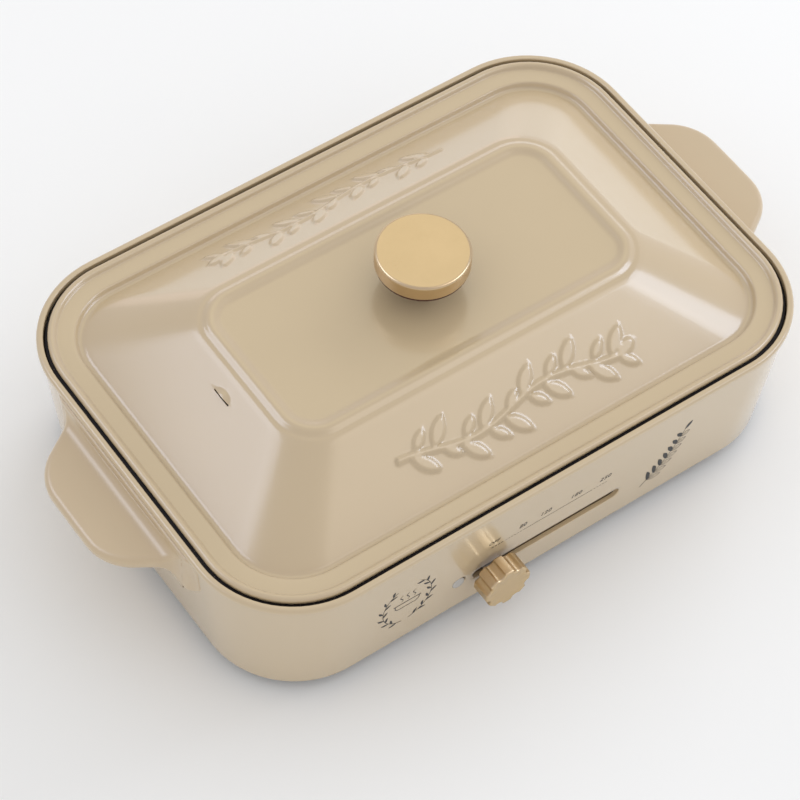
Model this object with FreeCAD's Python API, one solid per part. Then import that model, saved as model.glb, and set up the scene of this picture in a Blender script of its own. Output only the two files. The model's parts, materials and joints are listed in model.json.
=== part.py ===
"""Tabletop electric griddle with a lift-off pressed lid, a coated cooking plate,
a painted housing with two side handles, and a sliding heat lever at the front.

Lengths are in millimetres, +Z is up and the front with the lever faces -Y.
The model is drawn with the housing centred on the Z axis and the feet on Z = 0.
It is moved along Y when it is written, so that its bounding box is centred.
"""
import FreeCAD, Part
import math
import os

V = FreeCAD.Vector
ALONG_X = V(1, 0, 0)
ALONG_Y = V(0, 1, 0)
ALONG_Z = V(0, 0, 1)

# Clearances between pieces
seat_gap = 0.3
slide_gap = 0.3
running_gap = 0.05
thread_gap = 0.05
panel_gap = 0.4

# Housing: heights are above the table, insets are from the outer edge of the rim
rim_length = 317.0
rim_depth = 217.3
rim_corner = 49.5
rim_height = 78.0
rim_rise = 0.8
rim_drop = 2.6
rim_band = 3.4
rim_overhang = 1.3
rim_top_round = 1.5
rim_edge_round = 0.7
foot_height = 8.0
taper_x = 6.2
taper_y = 5.2
taper_corner = 3.6
wall_thickness = 2.2
ledge_inset = 9.5
ledge_thickness = 2.5

# Corner bosses that carry the pan, the cover and the feet
boss_x = 127.0
boss_y = 78.0
boss_radius = 4.5
boss_rib = 2.2
boss_screw_depth = 12.0

# Base cover and feet
cover_thickness = 1.2
cover_rise = 0.4
vent_length = 34.0
vent_width = 3.0
vent_corner = 1.4
vent_pitch = 11.0
vent_count = 9
vent_row_y = 32.0
foot_radius = 9.0
foot_sole_radius = 8.2
foot_recess_radius = 3.8
foot_recess_depth = 5.0

# Cooking plate
flange_drop = 1.6
flange_thickness = 3.0
plate_depth = 22.5
plate_wall = 3.0
plate_floor = 3.5
well_inset = 11.0
well_taper = 5.0
well_round = 6.0

# Reflector pan and heating element
pan_sheet = 0.8
pan_flange_drop = 4.3
pan_depth = 8.2
pan_floor_length = 224.0
pan_flare = 4.0
pan_corner = 26.0
pan_bracket_gap = 0.7
pan_flange_edge = 15.5
pan_flange_corner = 38.0
element_diameter = 7.0
element_margin = 4.0
element_corner = 30.0
element_leg_x = 15.0
element_leg_y = 35.0
element_leg_bend = 6.0
element_leg_drop = 8.0
clip_width = 6.0
clip_wing = 2.0
bush_radius = 6.0
bush_neck_radius = 4.4
bush_height = 2.4
bush_neck = 2.0
stud_radius = 1.5
stud_length = 6.0
lug_radius = 4.0
lug_thickness = 2.0
barrel_radius = 2.0
barrel_length = 8.0

# Front wall: heat lever, its guide, the lamp
slot_drop = 49.5
slot_length = 84.0
slot_height = 7.0
slot_recess = 3.2
lever_rest = -31.5
lever_travel = 63.0
guide_half_length = 44.0
guide_half_height = 17.0
guide_depth = 6.0
guide_web_depth = 2.4
groove_half_height = 7.9
groove_depth = 2.6
lip_half_height = 5.0
slit_low = 1.2
slit_height = 2.2
stem_width = 10.0
stem_thickness = 1.6
guide_screw_x = 40.0
guide_screw_h = 13.4
guide_boss_radius = 3.0
guide_screw_head = 3.6
carriage_width = 18.0
carriage_neck = 3.5
knob_stand_off = 3.8
lever_knob_length = 10.2
lever_knob_radius = 12.2
lever_flute_count = 8
lever_flute_radius = 2.6
lever_flute_depth = 1.5
lever_edge_round = 0.8
knob_grip = 6.0
lamp_x = -49.5
lamp_rise = 1.5
lens_radius = 3.35
lens_proud = 0.6
lens_flange_radius = 4.7
lens_flange = 1.2
holder_bore = 3.1
holder_length = 7.6
holder_back = 1.0
neon_radius = 2.5
neon_length = 5.6
neon_tip_round = 2.0

# Rack, pinion and thermostat
gear_module = 1.0
pinion_teeth = 24
pressure_angle = 20.0
tooth_backlash = 0.16
rack_length = 72.0
rack_bar = 3.8
rack_drop = 10.0
rack_height = 4.8
rack_screw_x = 5.0
rack_screw_radius = 1.25
rack_screw_head = 2.4
pinion_width = 5.4
spindle_radius = 3.0
spindle_tail = 2.8
spindle_depth = 6.5
spindle_clip_radius = 5.0
spindle_clip_thickness = 0.7
thermostat_length = 34.0
thermostat_depth = 26.0
thermostat_height = 10.8
thermostat_rise = 1.4
thermostat_round = 1.5
body_screw_depth = 4.0
tab_width = 6.3
tab_thickness = 0.8
tab_length = 7.0
tab_spread = 8.0
hat_sheet = 1.2
hat_width = 48.0
hat_depth = 22.0
hat_tab = 12.0
bulb_radius = 2.5
bulb_length = 50.0
bulb_start_x = 25.0
bulb_y = -30.0
capillary_radius = 1.0
capillary_hole = 1.6
fuse_radius = 2.0
fuse_length = 12.0
fuse_x = -46.0
fuse_y = 10.0
clip_sheet = 0.8
clip_tab = 5.0
fuse_screw_head = 2.3

# Power inlet in the back wall
inlet_x = 60.0
inlet_width = 41.6
inlet_height = 19.6
inlet_depth = 16.0
inlet_corner = 3.0
inlet_recess_width = 34.0
inlet_recess_height = 13.0
inlet_recess_depth = 8.5
inlet_flange_width = 60.0
inlet_flange_height = 24.0
inlet_flange_sheet = 2.0
inlet_screw_x = 25.5
inlet_boss_radius = 3.2
inlet_boss_height = 4.0
pin_spread = 9.0
pin_radius = 2.0
pin_recess = 2.5
pad_width = 4.2
pad_height = 9.0
pad_depth = 2.0

# Side handles
handle_reach = 28.2
handle_tip_half = 27.6
handle_tip_corner = 24.6
handle_root_half = 45.0
handle_root_round = 5.0
handle_drop = 9.9
handle_slope = 1.6
handle_thickness = 6.4
handle_nose = 2.8
handle_fillet = 5.0
handle_skirt_half = 57.5
handle_skirt_top = 2.9
handle_skirt_bottom = 27.0
handle_skirt_stand = 2.2
handle_skirt_depth = 8.0
handle_skirt_corner = 6.0
handle_screw_y = 30.0
handle_screw_drop = 13.7
handle_screw_radius = 2.0
handle_screw_grip = 13.0

# Pressed lid: each station is an inset from the rim's outer edge and a height over it
lid_sheet = 1.2
lid_edge = (5.4, -1.3)
lid_bead = ((5.1, 0.3), (5.4, 1.1), (6.1, 1.75), (6.9, 1.95), (7.7, 1.8), (8.5, 1.15), (9.2, 0.15))
lid_band_end = (16.4, -0.2)
lid_step = ((17.3, -0.5), (18.3, -1.25), (19.5, -1.7), (21.0, -1.8))
lid_slope_end = (58.8, 22.3)
panel_bead = ((60.4, 22.9), (62.2, 23.1), (63.4, 23.7), (64.6, 24.4), (66.2, 24.7), (67.9, 24.4),
              (69.7, 23.7), (71.2, 23.3))
panel_start = (72.6, 23.2)
panel_corner = 23.5
vent_inset = 51.9
vent_slit = 11.0
vent_slit_width = 1.1
vent_hood_height = 1.3

# Lid knob
knob_radius = 21.8
knob_height = 8.2
knob_top = 47.0
knob_edge_round = 1.3
knob_dish = 0.5
knob_chamfer = 0.8
collar_radius = 21.4
collar_thickness = 1.6
neck_radius = 8.5
neck_base_radius = 9.4
neck_base = 2.0
gasket_radius = 9.8
gasket_thickness = 0.8
knob_screw_radius = 2.4
knob_screw_grip = 4.5
knob_screw_head_radius = 4.6
knob_screw_head = 2.4
knob_washer_radius = 6.5
knob_washer_thickness = 1.0

# Fasteners
screw_radius = 1.5
screw_head_radius = 2.75
screw_head = 1.8
cross_recess = 0.9
cross_width = 0.7
screw_spare = 1.0

# Insulated wires inside the housing
wire_radius = 1.5
inlet_lead = 18.0
switch_lead = 14.0
fuse_lead = 15.0
neutral_lead = 20.0
lamp_lead = 12.0
capillary_turns = (4.0, 9.0, 6.0, 4.5)
lead_radius = 0.7

# Heights and places that follow from the sizes above
rim_top = rim_height + rim_rise
rim_low = rim_height - rim_drop
flange_top = rim_height - flange_drop
flange_low = flange_top - flange_thickness
plate_low = flange_low - plate_depth
ledge_top = flange_low - seat_gap
ledge_low = ledge_top - ledge_thickness
pan_flange_top = plate_low - pan_flange_drop
boss_top = pan_flange_top - pan_sheet
pan_floor_top = boss_top - pan_depth + pan_sheet
pan_floor_low = pan_floor_top - pan_sheet
cover_low = foot_height + cover_rise
cover_top = cover_low + cover_thickness
element_radius = element_diameter / 2
element_z = plate_low - seat_gap - element_radius
slot_z = rim_height - slot_drop
pitch_radius = gear_module * pinion_teeth / 2


def wall_share(z):
    """Share of the taper reached at height z: 0 under the rim, 1 at the lower edge."""
    return (rim_low - z) / (rim_low - foot_height)


def wall_half_length(z):
    return rim_length / 2 - rim_overhang - taper_x * wall_share(z)


def wall_half_depth(z):
    return rim_depth / 2 - rim_overhang - taper_y * wall_share(z)


def wall_lean():
    """How far the end walls lean for each unit of height."""
    return taper_x / (rim_low - foot_height)


def front_inner_y(z):
    """Y of the front wall's inner face at height z."""
    return wall_thickness - wall_half_depth(z)


# The lever's parts are placed by their depth behind the front wall at the slot
mech_y = front_inner_y(slot_z)
rack_front_y = mech_y + groove_depth + guide_web_depth + carriage_neck - slide_gap
rack_pitch_y = rack_front_y + rack_bar + 1.25 * gear_module
pinion_y = rack_pitch_y + pitch_radius
rack_low = slot_z - rack_drop
pinion_low = rack_low + (rack_height - pinion_width) / 2
thermostat_low = pinion_low + pinion_width + thermostat_rise
thermostat_top = thermostat_low + thermostat_height
lever_face_y = -wall_half_depth(slot_z) - knob_stand_off - lever_knob_length

# The pan reaches forward to the thermostat's bracket, and the element's loop follows the pan
pan_floor_depth = -2 * (pinion_y + hat_depth / 2 + pan_flare + pan_sheet + pan_bracket_gap)
pan_flange_length = 2 * (boss_x + pan_flange_edge)
pan_flange_depth = 2 * (boss_y + pan_flange_edge)
element_length = pan_floor_length - element_diameter - 2 * element_margin
element_depth = pan_floor_depth - element_diameter - 2 * element_margin

# The model is moved by this much, so that its bounding box is centred in Y
frame_shift = V(0, (-lever_face_y - rim_depth / 2) / 2, 0)


def rounded(length, depth, corner, z, centre_x=0.0, centre_y=0.0):
    """Closed wire of a rounded rectangle at height z."""
    a = length / 2 - corner
    b = depth / 2 - corner
    k = corner * math.sqrt(0.5)
    edges = []
    for sx, sy in ((1, 1), (-1, 1), (-1, -1), (1, -1)):
        along_x = V(centre_x + sx * a, centre_y + sy * (b + corner), z)
        middle = V(centre_x + sx * (a + k), centre_y + sy * (b + k), z)
        along_y = V(centre_x + sx * (a + corner), centre_y + sy * b, z)
        first, last = (along_y, along_x) if sx == sy else (along_x, along_y)
        if edges:
            edges.append(Part.LineSegment(edges[-1].lastVertex().Point, first).toShape())
        edges.append(Part.Arc(first, middle, last).toShape())
    edges.append(Part.LineSegment(edges[-1].lastVertex().Point, edges[0].firstVertex().Point).toShape())
    return Part.Wire(edges)


def inset_outline(inset, z):
    """The rim's outer outline drawn in by an inset."""
    return rounded(rim_length - 2 * inset, rim_depth - 2 * inset, rim_corner - inset, z)


def wall_outline(z, depth_in=0.0):
    """The tapered wall's outline at height z, drawn in by depth_in."""
    corner = rim_corner - rim_overhang - taper_corner * wall_share(z) - depth_in
    return rounded(2 * (wall_half_length(z) - depth_in), 2 * (wall_half_depth(z) - depth_in), corner, z)


def prism(wire, height):
    return Part.Face(wire).extrude(V(0, 0, height))


def loft(wires):
    return Part.makeLoft(wires, True, True)


def block(x0, x1, y0, y1, z0, z1):
    return Part.makeBox(x1 - x0, y1 - y0, z1 - z0, V(x0, y0, z0))


def rod(radius, start, end):
    axis = end.sub(start)
    return Part.makeCylinder(radius, axis.Length, start, axis)


def side_prism(points, x0, x1):
    """Prism along X whose section is the closed polygon of (y, z) points."""
    corners = [V(x0, y, z) for y, z in points]
    return Part.Face(Part.makePolygon(corners + corners[:1])).extrude(V(x1 - x0, 0, 0))


def turned(points, centre_x=0.0, centre_y=0.0):
    """Solid turned about a vertical axis from a closed polygon of (radius, z) points."""
    corners = [V(centre_x + r, centre_y, z) for r, z in points]
    face = Part.Face(Part.makePolygon(corners + corners[:1]))
    return face.revolve(V(centre_x, centre_y, 0), ALONG_Z, 360)


def fused(shapes):
    return shapes[0].multiFuse(shapes[1:]).removeSplitter() if len(shapes) > 1 else shapes[0]


def edges_on(shape, wire):
    """Edges of the shape whose middles lie on a wire."""
    found = []
    for edge in shape.Edges:
        middle = edge.valueAt((edge.FirstParameter + edge.LastParameter) / 2)
        if Part.Vertex(middle).distToShape(wire)[0] < 1e-4:
            found.append(edge)
    return found


def rings_at(shape, axis, place):
    """Closed edges that lie at one place along an axis: 0 for X, 1 for Y, 2 for Z."""
    found = []
    for edge in shape.Edges:
        box = edge.BoundBox
        low = (box.XMin, box.YMin, box.ZMin)[axis]
        high = (box.XMax, box.YMax, box.ZMax)[axis]
        if edge.Closed and abs(low - place) < 1e-4 and abs(high - place) < 1e-4:
            found.append(edge)
    return found


def bent_path(points, radii):
    """Straight runs through the points, joined by arcs tangent to both runs."""
    edges = []
    start = points[0]
    for i in range(1, len(points) - 1):
        back = points[i - 1].sub(points[i]).normalize()
        ahead = points[i + 1].sub(points[i]).normalize()
        turn = math.pi - back.getAngle(ahead)
        reach = radii[i - 1] * math.tan(turn / 2)
        first = points[i].add(back * reach)
        last = points[i].add(ahead * reach)
        inward = back.add(ahead).normalize()
        middle = points[i].add(inward * (radii[i - 1] * (1 / math.cos(turn / 2) - 1)))
        edges.append(Part.LineSegment(start, first).toShape())
        edges.append(Part.Arc(first, middle, last).toShape())
        start = last
    edges.append(Part.LineSegment(start, points[-1]).toShape())
    return Part.Wire(edges)


def widest_radii(points):
    """At each inner point the largest arc that leaves a tenth of the shorter run straight."""
    radii = []
    for i in range(1, len(points) - 1):
        back = points[i - 1].sub(points[i])
        ahead = points[i + 1].sub(points[i])
        half_turn = (math.pi - back.getAngle(ahead)) / 2
        radii.append(0.45 * min(back.Length, ahead.Length) / math.tan(half_turn))
    return radii


def tube(points, radius, radii=None):
    """Round bar along a path of straight runs and tangent arcs."""
    path = bent_path(points, radii or widest_radii(points))
    ring = Part.Wire(Part.makeCircle(radius, points[0], points[1].sub(points[0])))
    return path.makePipeShell([ring], True, False)


def screw(seat, direction, length, radius=screw_radius, head_radius=screw_head_radius, head=screw_head):
    """Pan-head screw with a cross recess: its head sits on seat and its shank runs along direction."""
    direction = V(direction).normalize()
    top = seat.sub(direction * head)
    body = rod(head_radius, top, seat).fuse(rod(radius, seat, seat.add(direction * length)))
    for turn in (0, 90):
        bar = Part.makeBox(2.6 * radius, cross_width, cross_recess, V(-1.3 * radius, -cross_width / 2, 0))
        bar.rotate(V(0, 0, 0), ALONG_Z, turn)
        bar.Placement = FreeCAD.Placement(top, FreeCAD.Rotation(ALONG_Z, direction)).multiply(bar.Placement)
        body = body.cut(bar)
    return body


def corner_places():
    """The four corner bosses, as signs of X and Y with their points."""
    return [(sx, sy, sx * boss_x, sy * boss_y) for sx in (-1, 1) for sy in (-1, 1)]


def guide_screw_places():
    return [(sx * guide_screw_x, slot_z + sz * guide_screw_h) for sx in (-1, 1) for sz in (-1, 1)]


def handle_screw_places():
    """Y and Z of the two screws that hold each handle."""
    return [(sy * handle_screw_y, rim_height - handle_screw_drop) for sy in (-1, 1)]


# Housing

def wall_solid():
    """The housing's tapered outside, filled."""
    return loft([wall_outline(foot_height), wall_outline(rim_low)])


def rim_solid():
    """The rolled rim, filled, with its outer edges rounded."""
    solid = prism(inset_outline(0, rim_low), rim_top - rim_low)
    solid = solid.makeFillet(rim_top_round, edges_on(solid, inset_outline(0, rim_top)))
    return solid.makeFillet(rim_edge_round, edges_on(solid, inset_outline(0, rim_low)))


def housing_bosses():
    """Corner bosses with their ribs, and the bosses on the front and back walls."""
    inside = loft([wall_outline(cover_top, wall_thickness / 2), wall_outline(boss_top, wall_thickness / 2)])
    bosses = []
    for sx, sy, x, y in corner_places():
        bosses.append(rod(boss_radius, V(x, y, cover_top), V(x, y, boss_top)))
        rib = block(0, rim_corner, -boss_rib / 2, boss_rib / 2, cover_top, boss_top)
        rib.rotate(V(0, 0, 0), ALONG_Z, math.degrees(math.atan2(sy, sx)))
        rib.translate(V(x, y, 0))
        bosses.append(rib.common(inside))
    for x, z in guide_screw_places():
        bosses.append(rod(guide_boss_radius, V(x, front_inner_y(z) - wall_thickness / 2, z),
                          V(x, mech_y + guide_depth - seat_gap, z)))
    for sx in (-1, 1):
        x = inlet_x + sx * inlet_screw_x
        bosses.append(rod(inlet_boss_radius, V(x, inlet_seat_y(), slot_z),
                          V(x, wall_half_depth(slot_z) - wall_thickness / 2, slot_z)))
    return bosses


def inlet_seat_y():
    """Y of the bosses' ends that carry the inlet's flange."""
    return wall_half_depth(slot_z) - wall_thickness - inlet_boss_height


def slot_cutter(length, height, y0, y1):
    """Round-ended bar that cuts the lever slot between two depths."""
    radius = height / 2
    half = length / 2 - radius
    ends = [rod(radius, V(x, y0, slot_z), V(x, y1, slot_z)) for x in (-half, half)]
    return fused([block(-half, half, y0, y1, slot_z - radius, slot_z + radius)] + ends)


def inlet_cutter(width, height, y0, y1, corner):
    """Bar with rounded corners along Y, at the inlet."""
    outline = rounded(width, height, corner, 0)
    bar = prism(outline, y1 - y0)
    bar.rotate(V(0, 0, 0), ALONG_X, 90)
    bar.translate(V(inlet_x, y1, slot_z))
    return bar


def outer_housing():
    solid = wall_solid().fuse(rim_solid())
    cavity = loft([wall_outline(foot_height, wall_thickness), wall_outline(ledge_low, wall_thickness)])
    window = prism(inset_outline(ledge_inset, ledge_low), ledge_thickness)
    pocket = prism(inset_outline(rim_band, ledge_top), rim_top - ledge_top)
    solid = solid.cut(fused([cavity, window, pocket]))
    solid = solid.makeFillet(rim_edge_round, edges_on(solid, inset_outline(rim_band, rim_top)))
    solid = solid.fuse(housing_bosses())
    reach = rim_depth
    behind = mech_y + wall_thickness / 2
    holes = [slot_cutter(slot_length, slot_height, -reach, behind)]
    holes.append(rod(lens_radius + thread_gap, V(lamp_x, -reach, slot_z + lamp_rise),
                     V(lamp_x, behind, slot_z + lamp_rise)))
    holes.append(inlet_cutter(inlet_width, inlet_height, inlet_seat_y(), reach, inlet_corner))
    for _, _, x, y in corner_places():
        for z0, z1 in ((cover_top, cover_top + boss_screw_depth), (boss_top - boss_screw_depth, boss_top)):
            holes.append(rod(screw_radius + thread_gap, V(x, y, z0), V(x, y, z1)))
    for x, z in guide_screw_places():
        end = mech_y + guide_depth
        holes.append(rod(screw_radius + thread_gap, V(x, end - guide_depth, z), V(x, end, z)))
    for sx in (-1, 1):
        x = inlet_x + sx * inlet_screw_x
        holes.append(rod(screw_radius + thread_gap, V(x, inlet_seat_y(), slot_z),
                         V(x, inlet_seat_y() + inlet_boss_height, slot_z)))
    for y, z in handle_screw_places():
        holes.append(rod(handle_screw_radius + thread_gap, V(-rim_length, y, z), V(rim_length, y, z)))
    return solid.cut(fused(holes))


def skirt_x():
    """X of the right handle's skirt face, which lies on the end wall."""
    return rim_length / 2 - rim_overhang + handle_skirt_stand


def handle_outline():
    """Plan of the right handle: a straight tip, slanting flanks and a hollow curve into the skirt."""
    tip_x = rim_length / 2 + handle_reach
    corners = [V(tip_x, 0, 0), V(tip_x, handle_tip_half, 0), V(skirt_x(), handle_root_half, 0),
               V(skirt_x(), handle_skirt_half, 0)]
    upper = bent_path(corners, [handle_tip_corner, handle_root_round])
    lower = upper.mirror(V(0, 0, 0), ALONG_Y)
    behind = Part.makePolygon([corners[-1], V(0, handle_skirt_half, 0), V(0, -handle_skirt_half, 0),
                               V(skirt_x(), -handle_skirt_half, 0)])
    return Part.Wire(Part.__sortEdges__(upper.Edges + lower.Edges + behind.Edges))


def handle_section():
    """Side view of the right handle: the skirt on the wall, the hollow above the grip and the grip."""
    x = skirt_x()
    tip_x = rim_length / 2 + handle_reach
    back = x - handle_skirt_depth
    top = rim_height - handle_drop
    tip_top = top - handle_slope
    low = tip_top - handle_thickness
    skirt_top = rim_height - handle_skirt_top
    skirt_low = rim_height - handle_skirt_bottom
    front = bent_path([V(x, 0, skirt_top), V(x, 0, top), V(tip_x, 0, tip_top), V(tip_x, 0, low),
                       V(x + 2 * handle_fillet, 0, low), V(x, 0, skirt_low)],
                      [handle_fillet, handle_nose, handle_nose, handle_fillet])
    behind = Part.makePolygon([V(x, 0, skirt_low), V(back, 0, skirt_low), V(back, 0, skirt_top),
                               V(x, 0, skirt_top)])
    return Part.Wire(Part.__sortEdges__(front.Edges + behind.Edges))


def handle_end_view():
    """Block whose outline, seen from the end, has the skirt's rounded lower corners."""
    low = rim_height - handle_skirt_bottom
    corners = [V(0, -handle_skirt_half, rim_top), V(0, -handle_skirt_half, low),
               V(0, handle_skirt_half, low), V(0, handle_skirt_half, rim_top)]
    hanging = bent_path(corners, [handle_skirt_corner, handle_skirt_corner])
    closing = Part.makePolygon([corners[-1], corners[0]])
    face = Part.Face(Part.Wire(Part.__sortEdges__(hanging.Edges + closing.Edges)))
    return face.extrude(V(rim_length, 0, 0))


def right_handle():
    section = Part.Face(handle_section())
    section.translate(V(0, -handle_skirt_half, 0))
    bar = section.extrude(V(0, 2 * handle_skirt_half, 0))
    solid = bar.common(prism(handle_outline(), rim_top)).common(handle_end_view())
    solid = solid.cut(wall_solid())
    for y, z in handle_screw_places():
        start = wall_half_length(z) - wall_thickness
        solid = solid.cut(rod(handle_screw_radius, V(start, y, z), V(start + handle_screw_grip, y, z)))
    return solid


def left_handle():
    return right_handle().mirror(V(0, 0, 0), ALONG_X)


def handle_screws():
    screws = []
    head_radius = 2 * handle_screw_radius
    gap = seat_gap + head_radius * wall_lean()
    for side in (-1, 1):
        for y, z in handle_screw_places():
            seat = V(side * (wall_half_length(z) - wall_thickness - gap), y, z)
            screws.append(screw(seat, V(side, 0, 0), handle_screw_grip, handle_screw_radius, head_radius))
    return screws


def base_cover():
    solid = prism(wall_outline(cover_low, wall_thickness + panel_gap), cover_thickness)
    bore = screw_radius + thread_gap
    cuts = [rod(bore, V(x, y, 0), V(x, y, cover_top)) for _, _, x, y in corner_places()]
    for row in (-1, 1):
        for i in range(vent_count):
            x = (i - (vent_count - 1) / 2) * vent_pitch
            y = row * vent_row_y
            slit = rounded(vent_width, vent_length, vent_corner, cover_low, x, y)
            cuts.append(prism(slit, cover_thickness))
    return solid.cut(fused(cuts))


def feet():
    bore = screw_radius + thread_gap
    recess = foot_recess_depth
    profile = [(bore, cover_low), (foot_radius, cover_low), (foot_radius, cover_low / 2),
               (foot_sole_radius, 0), (foot_recess_radius, 0), (foot_recess_radius, recess),
               (bore, recess)]
    return [turned(profile, x, y) for _, _, x, y in corner_places()]


def foot_screws():
    length = cover_top + boss_screw_depth - foot_recess_depth - screw_spare
    return [screw(V(x, y, foot_recess_depth), ALONG_Z, length) for _, _, x, y in corner_places()]


# Cooking plate, pan and heating element

def griddle_plate():
    outline_inset = rim_band + seat_gap
    flange = prism(inset_outline(outline_inset, flange_low), flange_thickness)
    tub = loft([inset_outline(well_inset + well_taper, plate_low), inset_outline(well_inset, flange_low)])
    tub = tub.makeFillet(well_round, edges_on(tub, inset_outline(well_inset + well_taper, plate_low)))
    floor_z = plate_low + plate_floor
    rise = well_taper / (flange_low - plate_low)
    low_inset = well_inset + plate_wall + rise * (flange_low - floor_z)
    top_inset = well_inset + plate_wall - rise * (flange_top - flange_low)
    well = loft([inset_outline(low_inset, floor_z), inset_outline(top_inset, flange_top)])
    well = well.makeFillet(well_round - plate_wall / 2, edges_on(well, inset_outline(low_inset, floor_z)))
    return flange.fuse(tub).cut(well).removeSplitter()


def pan_solid(grow):
    """The pan's dish, filled, grown outwards by one sheet for its outside."""
    low_z = pan_floor_top - grow
    high_z = boss_top + pan_sheet - grow
    wider = pan_flare + grow
    floor = rounded(pan_floor_length + 2 * grow, pan_floor_depth + 2 * grow, pan_corner, low_z)
    mouth = rounded(pan_floor_length + 2 * wider, pan_floor_depth + 2 * wider, pan_corner, high_z)
    return loft([floor, mouth])


def reflector_pan():
    flange = prism(rounded(pan_flange_length, pan_flange_depth, pan_flange_corner, boss_top), pan_sheet)
    solid = flange.fuse(pan_solid(pan_sheet)).cut(pan_solid(0))
    cuts = [rod(screw_radius + thread_gap, V(x, y, boss_top), V(x, y, pan_flange_top))
            for _, _, x, y in corner_places()]
    for sx in (-1, 1):
        cuts.append(rod(bush_neck_radius, V(sx * element_leg_x, element_leg_y, 0),
                        V(sx * element_leg_x, element_leg_y, pan_flange_top)))
    cuts.append(rod(capillary_hole, V(capillary_x(), bulb_y, 0), V(capillary_x(), bulb_y, pan_flange_top)))
    for x, y in hat_screw_places() + fuse_screw_places():
        cuts.append(rod(screw_radius + thread_gap, V(x, y, 0), V(x, y, pan_flange_top)))
    return solid.cut(fused(cuts))


def pan_screws():
    length = boss_screw_depth - screw_spare
    return [screw(V(x, y, pan_flange_top), V(0, 0, -1), length) for _, _, x, y in corner_places()]


def element_points():
    """Centre line of the sheathed element: up through the pan, round the loop and down again."""
    a = element_length / 2
    b = element_depth / 2
    low = pan_floor_low - element_leg_drop
    left = [V(-element_leg_x, element_leg_y, low), V(-element_leg_x, element_leg_y, element_z),
            V(-element_leg_x, b, element_z), V(-a, b, element_z), V(-a, -b, element_z)]
    return left + [V(-p.x, p.y, p.z) for p in reversed(left)]


def heating_element():
    bend = element_leg_bend
    radii = [bend, bend, element_corner, element_corner]
    return tube(element_points(), element_radius, radii + radii[::-1])


def element_clips():
    """Cradles that stand on the pan and hold the loop's lower half."""
    a = element_length / 2
    b = element_depth / 2
    across = element_radius + clip_wing
    half = clip_width / 2
    clips = []
    for sx in (-1, 1):
        for y in (-b, b):
            x = sx * a / 2
            cradle = block(x - half, x + half, y - across, y + across, pan_floor_top, element_z)
            run = rod(element_radius, V(x - half, y, element_z), V(x + half, y, element_z))
            clips.append(cradle.cut(run))
        x = sx * a
        cradle = block(x - across, x + across, -half, half, pan_floor_top, element_z)
        clips.append(cradle.cut(rod(element_radius, V(x, -half, element_z), V(x, half, element_z))))
    return clips


def element_bushes():
    low = pan_floor_low - bush_neck
    profile = [(element_radius, low), (bush_neck_radius, low), (bush_neck_radius, pan_floor_top),
               (bush_radius, pan_floor_top), (bush_radius, pan_floor_top + bush_height),
               (element_radius, pan_floor_top + bush_height)]
    return [turned(profile, sx * element_leg_x, element_leg_y) for sx in (-1, 1)]


def terminal_z():
    """Height of the lugs' middle under the element's ends."""
    return pan_floor_low - element_leg_drop - stud_length / 2


def element_terminals():
    """Stud and crimped lug under each end of the element."""
    top = pan_floor_low - element_leg_drop
    z = terminal_z()
    terminals = []
    for sx, aim in ((-1, V(0, -1, 0)), (1, V(1, 0, 0))):
        centre = V(sx * element_leg_x, element_leg_y, z)
        stud = rod(stud_radius, V(centre.x, centre.y, top - stud_length), V(centre.x, centre.y, top))
        lug = rod(lug_radius, V(centre.x, centre.y, z - lug_thickness / 2),
                  V(centre.x, centre.y, z + lug_thickness / 2))
        barrel = rod(barrel_radius, centre.add(aim * (lug_radius - 1)),
                     centre.add(aim * (lug_radius + barrel_length - 1)))
        terminals.append(fused([stud, lug, barrel]))
    return terminals


# Heat lever and its guide

def lever_guide():
    """Moulded slide behind the slot: a web with a slit, and a grooved rail above and below."""
    x0 = -guide_half_length
    x1 = guide_half_length
    back = mech_y + guide_depth
    lip = mech_y + guide_web_depth + groove_depth
    rails = []
    for side in (1, -1):
        inner = slot_z + side * groove_half_height
        outer = slot_z + side * guide_half_height
        mouth = slot_z + side * lip_half_height
        rails.append(side_prism([(front_inner_y(inner), inner), (front_inner_y(outer), outer),
                                 (back, outer), (back, mouth), (lip, mouth), (lip, inner)], x0, x1))
    recess = slot_recess - wall_thickness
    top = slot_z + groove_half_height
    low = slot_z - groove_half_height
    web_back = mech_y + guide_web_depth
    web = side_prism([(front_inner_y(low) + recess, low), (front_inner_y(top) + recess, top),
                      (web_back, top), (web_back, low)], x0, x1)
    slit_half = lever_travel / 2 + stem_width / 2 + slide_gap
    slit = block(-slit_half, slit_half, mech_y - wall_thickness, back,
                 slot_z + slit_low, slot_z + slit_low + slit_height)
    solid = fused(rails + [web.cut(slit)])
    for x, z in guide_screw_places():
        solid = solid.cut(rod(guide_boss_radius + thread_gap, V(x, -rim_depth, z), V(x, back, z)))
    return solid


def guide_screws():
    back = mech_y + guide_depth
    length = guide_depth - screw_spare
    return [screw(V(x, back, z), V(0, -1, 0), length, screw_radius, guide_screw_head)
            for x, z in guide_screw_places()]


def lever_carriage():
    x0 = lever_rest - carriage_width / 2
    x1 = lever_rest + carriage_width / 2
    front = mech_y + guide_web_depth + slide_gap
    lip = mech_y + guide_web_depth + groove_depth
    tongue_half = groove_half_height - slide_gap
    neck_half = lip_half_height - slide_gap
    tongue = block(x0, x1, front, lip - slide_gap, slot_z - tongue_half, slot_z + tongue_half)
    neck = block(x0, x1, front, rack_front_y, slot_z - neck_half, slot_z + neck_half)
    solid = tongue.fuse(neck).removeSplitter()
    solid = solid.cut(stem_block(thread_gap))
    for sx in (-1, 1):
        x = lever_rest + sx * rack_screw_x
        z = rack_screw_z()
        solid = solid.cut(rod(rack_screw_radius + thread_gap, V(x, front, z), V(x, rack_front_y, z)))
    return solid


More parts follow.
